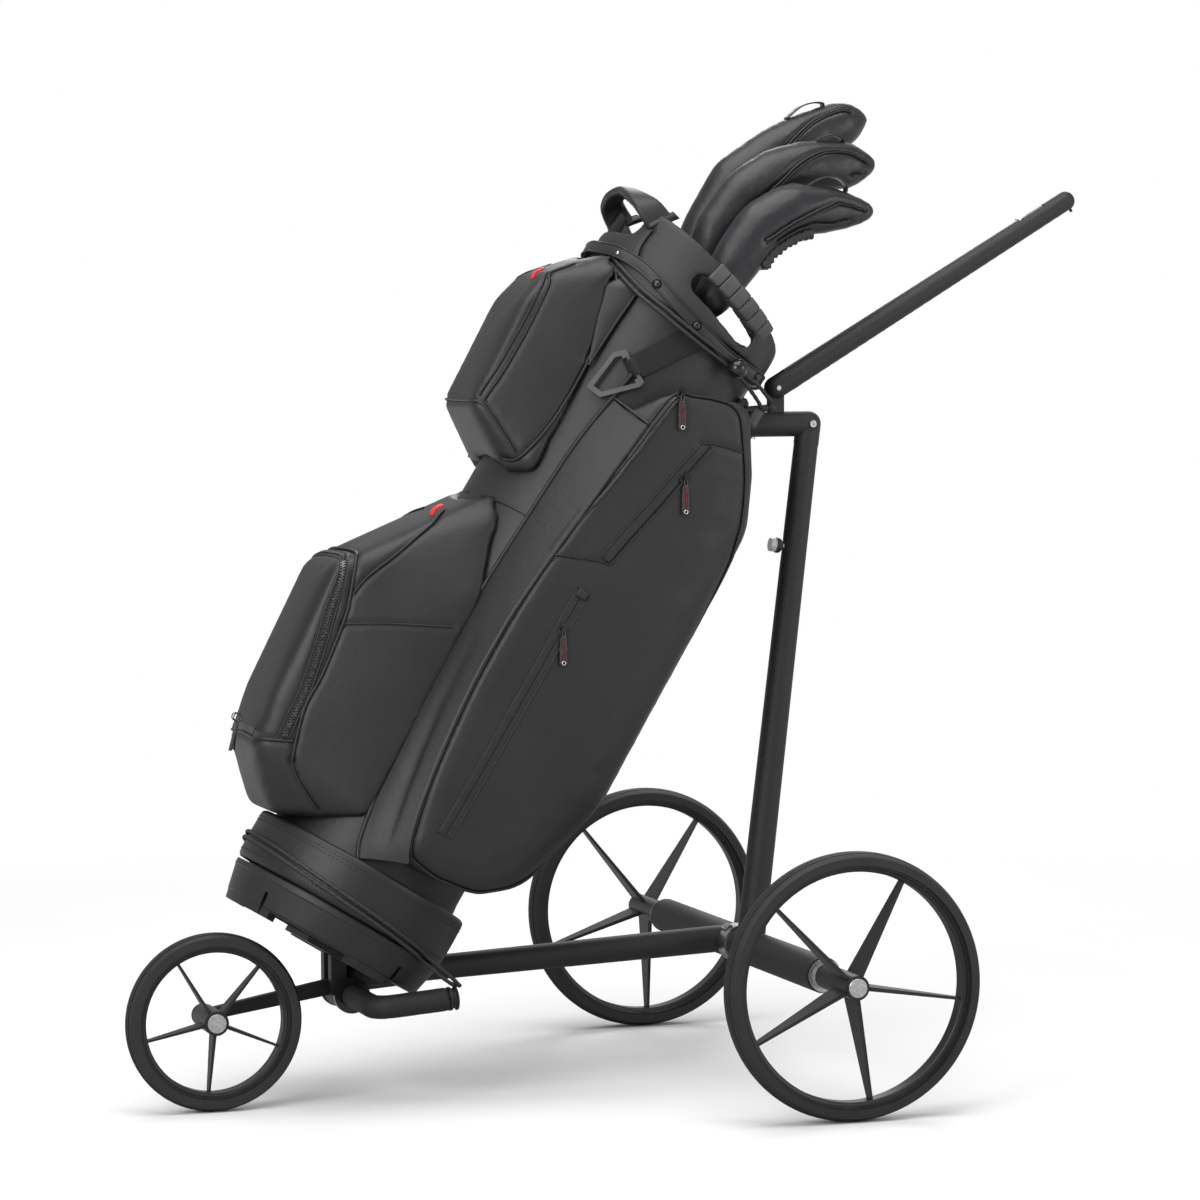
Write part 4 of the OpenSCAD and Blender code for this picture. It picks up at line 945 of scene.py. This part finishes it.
for i, high in enumerate((0.0062, -0.0062)):
    wire(f"collar_strap_edge_{i + 1}", [p + out * 0.0035 + up * high for p, out, up in strap_frames],
         0.0013)
for label, side in sides:
    for k, (angle, height, size, radius, mat) in enumerate((
            (27, 848.5, 0.0028, 130.2, chrome), (56, 834, 0.0048, 125.8, gloss_plastic),
            (85, 814.5, 0.0048, 125.8, gloss_plastic), (139, 811, 0.0034, 125.8, gloss_plastic))):
        place = round_bag(side * angle, radius, height)
        out = (place - round_bag(side * angle, 0, height)).normalized()
        bead(f"stud_{label}_{k + 1}", place, out, size, size * 0.62, mat)
        if k:
            x_way = out.orthogonal().normalized()
            ring = [place + (x_way * x + out.cross(x_way) * y) * size * 1.12
                    for x, y in ellipse(1, 1)]
            # A thin near-black ring round the stud's foot, painted shade where it sits in the
            # leather.
            wire(f"stud_seat_{label}_{k + 1}", ring, 0.0007, painted_shade, "frame", 2, True)

# %% [markdown]
# Six short rubber segments cover the rim over each grab opening. Each is tucked in a little
# at its two ends, so that a groove shows between neighbours.

# %% Rim grips
def rim_frame(back, radius, up, side):
    """A place on the slanted rim that lies this far from the bag's middle line."""
    q = lean.inverted() @ (rim_tilt @ Vector((back / 1000, 0, up / 1000)))
    q.y = side * math.sqrt((radius / 1000) ** 2 - q.x ** 2)
    return lean @ q, (lean.to_3x3() @ Vector((q.x, q.y, 0))).normalized()


grip_edges, grip_gap, grip_radius, grip_height = [-20, -4, 13, 30, 47, 64, 79], 0.6, 115.2, -10.4
rim_up = (rim_tilt.to_3x3() @ Vector((0, 0, 1))).normalized()
for label, side in sides:
    for k, (start, stop) in enumerate(zip(grip_edges, grip_edges[1:])):
        frames = []
        for t, tuck in ((0, 0.93), (0.08, 1), (0.3, 1), (0.5, 1), (0.7, 1), (0.92, 1), (1, 0.93)):
            back = start + grip_gap + (stop - start - 2 * grip_gap) * t
            place, out = rim_frame(back, grip_radius, grip_height, side)
            frames.append((place, out * tuck, rim_up * tuck))
        swept(f"rim_grip_{label}_{k + 1}", frames, rounded(0.0192, 0.0240, 0.0042), grip_rubber)

# %% [markdown]
# Both elastic cords are pairs of braided strands that run from one side of the cart round the
# front of the bag to the other. A strand is swept with four lobes that turn as they go, which
# is what a braid looks like at this size. The routes repeat those of the solids.

# %% Cords
strand_radius, strand_gap, braid_turn, braid_depth = 0.0025, 3.5, 0.55, 0.07


def strand_path(route, radius, shift, tail):
    """From the far tail round the bag's front to the near tail."""
    half = [round_bag(-a, radius, s + shift) for a, s in route] + on_side(1, *tail)
    other = on_side(-1, *reversed(tail)) + \
        [round_bag(a, radius, s + shift) for a, s in reversed(route[1:])]
    return smooth_line(other + half, 0.0035)


def braided(name, node, path):
    frames, last = [], Vector((0, 0, 1))
    for i, p in enumerate(path):
        along = heading(path, i)
        side = along.cross(last) if along.cross(last).length > 0.1 else along.orthogonal()
        side.normalize()
        last = side.cross(along).normalized()
        turn = i * braid_turn
        frames.append((p, side * math.cos(turn) + last * math.sin(turn),
                       last * math.cos(turn) - side * math.sin(turn)))
    lobes = [1 - braid_depth * (1 - math.cos(math.tau * k / 4)) for k in range(16)]
    ring = [(x * lobe, y * lobe)
            for (x, y), lobe in zip(ellipse(strand_radius, strand_radius, 16), lobes)]
    piece = swept(name, frames, ring, elastic)
    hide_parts(node)
    length = sum((b - a).length for a, b in zip(path, path[1:]))
    tuple(path[-1])
    [tuple(p) for p in path]
    print(name, round(length, 3), "m")


upper_route = [(0, 850), (15, 846), (32, 832), (50, 818), (67, 810), (91, 802), (116, 800),
               (128, 798)]
lower_route = [(0, 66), (24, 64), (48, 59), (72, 54), (96, 49), (118, 44), (130, 40)]
for label, s in (("a", 1), ("b", -1)):
    upper_tail = [(-104, -84, 796 + 6 * s), (-130, -66 - 4 * s, 791 + 6 * s)]
    lower_tail = [(-124, -106, 34 + 3 * s), (-138, -100 - 4 * s, 33.6)]
    for name, route, radius, tail in (("upper", upper_route, 126.8, upper_tail),
                                      ("lower", lower_route, 135.3, lower_tail)):
        braided(f"cord_{name}_{label}", name + "_cord",
                strand_path(route, radius, s * strand_gap, tail))

# %% [markdown]
# The towel ring hangs on a strap of webbing that comes out from under the collar. The strap
# keeps the place of its solid and takes a rib weave.

# %% Towel strap
remeshed("towel_webbing", "towel_strap", band_weave, 0.0016, 1)

# %% [markdown]
# The gusset of each side pocket is one soft leather panel between the thick piping on the tube
# and the front edge of the case. It crowns a little and folds into a valley near its foot.

# %% Gussets
gusset_rows, gusset_crown, gusset_wave, valley_depth = 100, 0.0035, 0.0006, 0.0065
for label, side, _, lines in side_cases:
    root = on_side(side, (49, 109, 696)) + side_root(side)[1:]
    front = on_side(side, (10, 147, 686)) + lines["front_edge"][2:]
    starts, ends = even_points(root, gusset_rows), even_points(front, gusset_rows)
    ahead = toward(1000, side * -600, 0).normalized()
    bm, corners = grid(gusset_rows, 18)
    for v, i, t in corners:
        u = i / (gusset_rows - 1)
        place = starts[i].lerp(ends[i], t)
        deep = min(1, max(0, (u - 0.5) / 0.3)) * min(1, max(0, (1 - u) / 0.06))
        crown = gusset_crown * math.sin(math.pi * t) + gusset_wave * noise.noise(place * 30)
        valley = valley_depth * deep * math.exp(-((t - 0.52) / 0.13) ** 2)
        v.co = place + ahead * (crown - valley)
    solidified(bm, "gusset_" + label, 0.0012, leather)
    peak = root[0].lerp(front[0], 0.5) + (root[0] - at_bag(0, 0, 696)) * 0.03
    wire("gusset_top_" + label, smooth_line([root[0], peak, front[0]]), 0.0015)

# %% [markdown]
# The upper pocket's rear corners run on towards the collar as thin patches of leather with
# their own piping. A patch narrows to nothing at its foot.

# %% Corners of the upper pocket
patch_rows, patch_crown = 24, 0.0016
for label, side in sides:
    rear = even_points(on_side(side, (77, 87, 836), (81, 88, 815), (83, 88, 798), (85, 86, 770),
                               (88, 86, 716)), patch_rows)
    ahead = on_skin(upper_skin, on_side(side, (114, 79, 808), (112, 80, 796), (108, 83, 770),
                                        (96, 86, 716)))
    ahead = even_points(on_side(side, (98, 69, 833)) + [p for p, _ in ahead], patch_rows)
    out = toward(0, side * 1000, 0).normalized()
    bm, corners = grid(patch_rows, 8)
    for v, i, t in corners:
        down = i / (patch_rows - 1)
        crown = patch_crown * math.sin(math.pi * t) * (1 - down ** 2)
        v.co = rear[i].lerp(ahead[i], t * (1 - down ** 4)) + out * crown
    solidified(bm, "flap_corner_" + label, 0.0012, leather)
    wire("flap_piping_" + label, rear, 0.0019)

# %% [markdown]
# The lifting handle is a smooth bow that bridges the front of the rim. Its band slants by the
# last two numbers of each point. Fine ribs run across its underside, and each foot sits in a
# black socket at the corner of the collar.

# %% Lifting handle
bow_half = [(90, 66, 902, 11, 15), (103, 66, 908, 12, 12), (117, 58, 915, 11, 8),
            (127, 34, 921, 10, 5), (129, 0, 926, 9, 4)]
bow_full = [(f, -y, s, a, b) for f, y, s, a, b in bow_half] + bow_half[-2::-1]
bow = smooth_line([at_bag(f, y, s) for f, y, s, _, _ in bow_full], 0.003)
slants = [toward(-a, 0, b) for _, _, _, a, b in bow_full]
frames = []
for i, p in enumerate(bow):
    place = i / (len(bow) - 1) * (len(slants) - 1)
    k = min(int(place), len(slants) - 2)
    wide = slants[k].lerp(slants[k + 1], place - k)
    frames.append((p, wide.cross(heading(bow, i)).normalized(), wide / 0.01))
bow_piece = swept("lifting_bow", frames, rounded(0.0095, 0.0185, 0.0038, 4), plastic)
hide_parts("carry_handle")
middle_of_bow = at_bag(95, 0, 890)
foot_steps, rib_thick, rib_high, rib_sink, rib_share = 12, 0.0013, 0.0014, 0.005, 0.016
bm = bmesh.new()
for p, out, slant in frames[foot_steps:-foot_steps]:
    wide = slant.normalized()
    inward = out if (p + out - middle_of_bow).length < (p - out - middle_of_bow).length else -out
    turn = Matrix((inward.cross(wide), inward, wide)).transposed().to_4x4()
    turn.translation = p + inward * rib_sink
    bmesh.ops.create_cube(bm, size=1.0, matrix=turn @ Matrix.Diagonal(
        (rib_thick, rib_high, slant.length * rib_share, 1)))
add_piece("bow_ribs", to_mesh(bm, "bow_ribs"), plastic, soft_shading=False)
for label, side in sides:
    path = smooth_line(on_side(side, (100, 69, 892), (90, 68, 908), (79, 64, 922)))
    out = toward(80, side * 66, 0).normalized()
    over = out.cross(path[-1] - path[0]).normalized()
    swept("bow_socket_" + label, [(p, out, over) for p in path], rounded(0.012, 0.008, 0.0025),
          plastic)

# %% [markdown]
# Each head cover is sewn from a front and a back panel. Two close rows of piping follow the
# seam on both faces, and a leather loop stands on the crown for pulling the cover off. Points
# are how far back and how high they lie; each cover has its own distance from the middle.

# %% Cover seams and loops
def behind(side, *points):
    """Points by how far back and how high they lie."""
    return [at_bag(-b, side, s) for b, s in points]


cover_details = [
    ("one", 62, [[(25, 1084), (30, 1111), (36, 1136), (45, 1155), (58, 1169), (74, 1175)]],
     [(16, 1118), (24, 1140), (36, 1153), (46, 1158), (50, 1152)]),
    ("two", 0, [[(17, 1010), (22, 1030), (27, 1054), (35, 1075), (45, 1092), (53, 1101),
                 (74, 1113), (102, 1118), (117, 1120)],
                [(103, 1081), (112, 1087), (121, 1090), (127, 1091)]],
     [(36, 1088), (46, 1108), (60, 1119), (72, 1119), (75, 1111)]),
    ("three", -62, [[(23, 949), (31, 963), (42, 985), (55, 1006), (69, 1028), (76, 1039),
                     (91, 1047), (109, 1052), (123, 1056)],
                    [(111, 1020), (93, 1002), (72, 993), (64, 982), (53, 964), (47, 954)]],
     [(40, 1034), (52, 1053), (68, 1063), (82, 1061), (86, 1051)])]
flat = toward(0, 1, 0).normalized()
for (word, middle, runs, _), sock in zip(cover_details, covers):
    skin, body = skin_of(sock), "club_" + word
    for k, run in enumerate(runs):
        for face in (-1, 1):
            laid = on_skin(skin, behind(middle + face * 32, *run))
            press(sock, [laid], 0.0022)
            pipe_seam(f"cover_{word}_seam_{k + 1}_{face + 2}", laid, 0.0013, body=body)
            if k == 0:
                beside = behind(middle + face * 32, *[(b + 3.5, s - 3) for b, s in run])
                pipe_seam(f"cover_{word}_row_{face + 2}", on_skin(skin, beside), 0.0009, 0.0003,
                          body=body)
for word, middle, _, loop in cover_details:
    swept(f"cover_{word}_loop", flat_frames(smooth_line(behind(middle, *loop), 0.003), flat),
          rounded(0.013, 0.0018, 0.0008), soft_leather, "club_" + word)

# %% [markdown]
# Gathered elastic closes the underside of the lowest cover: a thin band whose little pleats
# follow one another along the mouth.

# %% Gathered elastic
def pleat(i):
    """How much thicker the band is at its step i."""
    return 1 + 0.22 * math.sin(i * 1.3) + 0.1 * math.sin(i * 0.47)


edge = smooth_line(behind(-62, (70, 989), (58, 977), (48, 960), (41, 942), (40, 924)), 0.0015)
swept("cover_three_gathers", flat_frames(edge, flat, pleat), rounded(0.040, 0.012, 0.005), elastic,
      "club_three")

# %% [markdown]
# Small things that catch the eye: red loops on the pocket corners, a velvet strip in the mouth
# of the cuff and two pulls beside it. A red loop is seen from its edge as a long U.

# %% Tabs and pulls
upward = toward(-300, 0, 1000).normalized()
tab_length, tab_height, tape_thickness = 0.019, 0.0035, 0.0012
for name, (f, y, s), skin in (("red_tab_lower", (156, -38, 487), lower_skin),
                              ("red_tab_upper", (190, -20, 781), upper_skin)):
    foot = skin.find_nearest(at_bag(f, y, s))[0]
    out = toward(f, y, 0).normalized()
    loop = [foot + upward * tab_length * 0.1 * k + out * tab_height * math.sin(math.pi * k / 10)
            for k in range(11)]
    loop += [p - out * tape_thickness for p in loop[-2::-1]]
    swept(name, [(p, upward.cross(out).normalized(), out) for p in loop],
          rounded(0.008, 0.0011, 0.0004), red)
cuff_runs = mirrored((210, 49, 163), (200, 56, 165), (188, 66, 170), (177, 73, 177))
cuff_runs.append(on_side(1, *[(216, y, 164) for y in (-46, -20, 0, 20, 46)]))
for i, run in enumerate(cuff_runs):
    ribbon(f"cuff_velvet_{i + 1}", on_skin(lower_skin, run), 0.0042, velvet, 0.0022, 0.0006)
for k, (side, tilt) in enumerate(((-28, 0.010), (-19, 0.004))):
    top = at_bag(222, side, 170)
    hang = [(top + Vector((-tilt * t, -0.002 * t, -0.034 * t)), outward, Vector((-1, 0, 0)))
            for t in (0, 0.15, 0.5, 0.85, 1)]
    swept(f"cuff_pull_{k + 1}", hang, rounded(0.0095, 0.0022, 0.0009), pull_leather)
    wire(f"cuff_link_{k + 1}",
         [top + Vector((x, 0.001, z + 0.003)) for x, z in ellipse(0.0045, 0.0045)],
         0.0007, gunmetal, "frame", 3, True)

# %% [markdown]
# Three rows of stitches run round the band of the foot, a satin sleeve covers each horn of the
# bracket, and one seam crosses the tube between the two front pockets.

# %% Stitches, sleeves and the tube's seam
for k, (height, radius) in enumerate(((91.5, 132.2), (87.5, 132.4), (50, 132.4))):
    places = [(round_bag(a, radius, height), round_bag(a, 0, height)) for a in range(-172, 173, 2)]
    stitch_row(f"band_stitches_{k + 1}", [(p, (p - core).normalized()) for p, core in places],
               0.0056, 0.0034, 0.0005)
horn_radius, horn_length = 0.0073, 0.0205
for label, side in sides:
    low, high = on_side(side, (-124, 62, 761), (-124, 62, 783))
    bm = bmesh.new()
    bmesh.ops.create_cone(bm, cap_ends=True, segments=40, radius1=horn_radius,
                          radius2=horn_radius, depth=horn_length,
                          matrix=standing((low + high) / 2, high - low))
    rims = [e for e in bm.edges if len(e.link_faces) == 2 and e.calc_face_angle() > 1]
    bmesh.ops.bevel(bm, geom=rims, offset=0.0012, segments=3, affect="EDGES")
    horn = add_piece("horn_sleeve_" + label, to_mesh(bm, "horn_sleeve"), grey_plastic)
    horn.data.set_sharp_from_angle(angle=math.radians(40))
tube_skin = skin_of(tube_piece)
for i, run in enumerate(mirrored((66, 96, 531), (84, 80, 532), (104, 51, 531), (116, 0, 530))):
    pipe_seam(f"tube_seam_{i + 1}", on_skin(tube_skin, run), 0.0014, 0.0003)
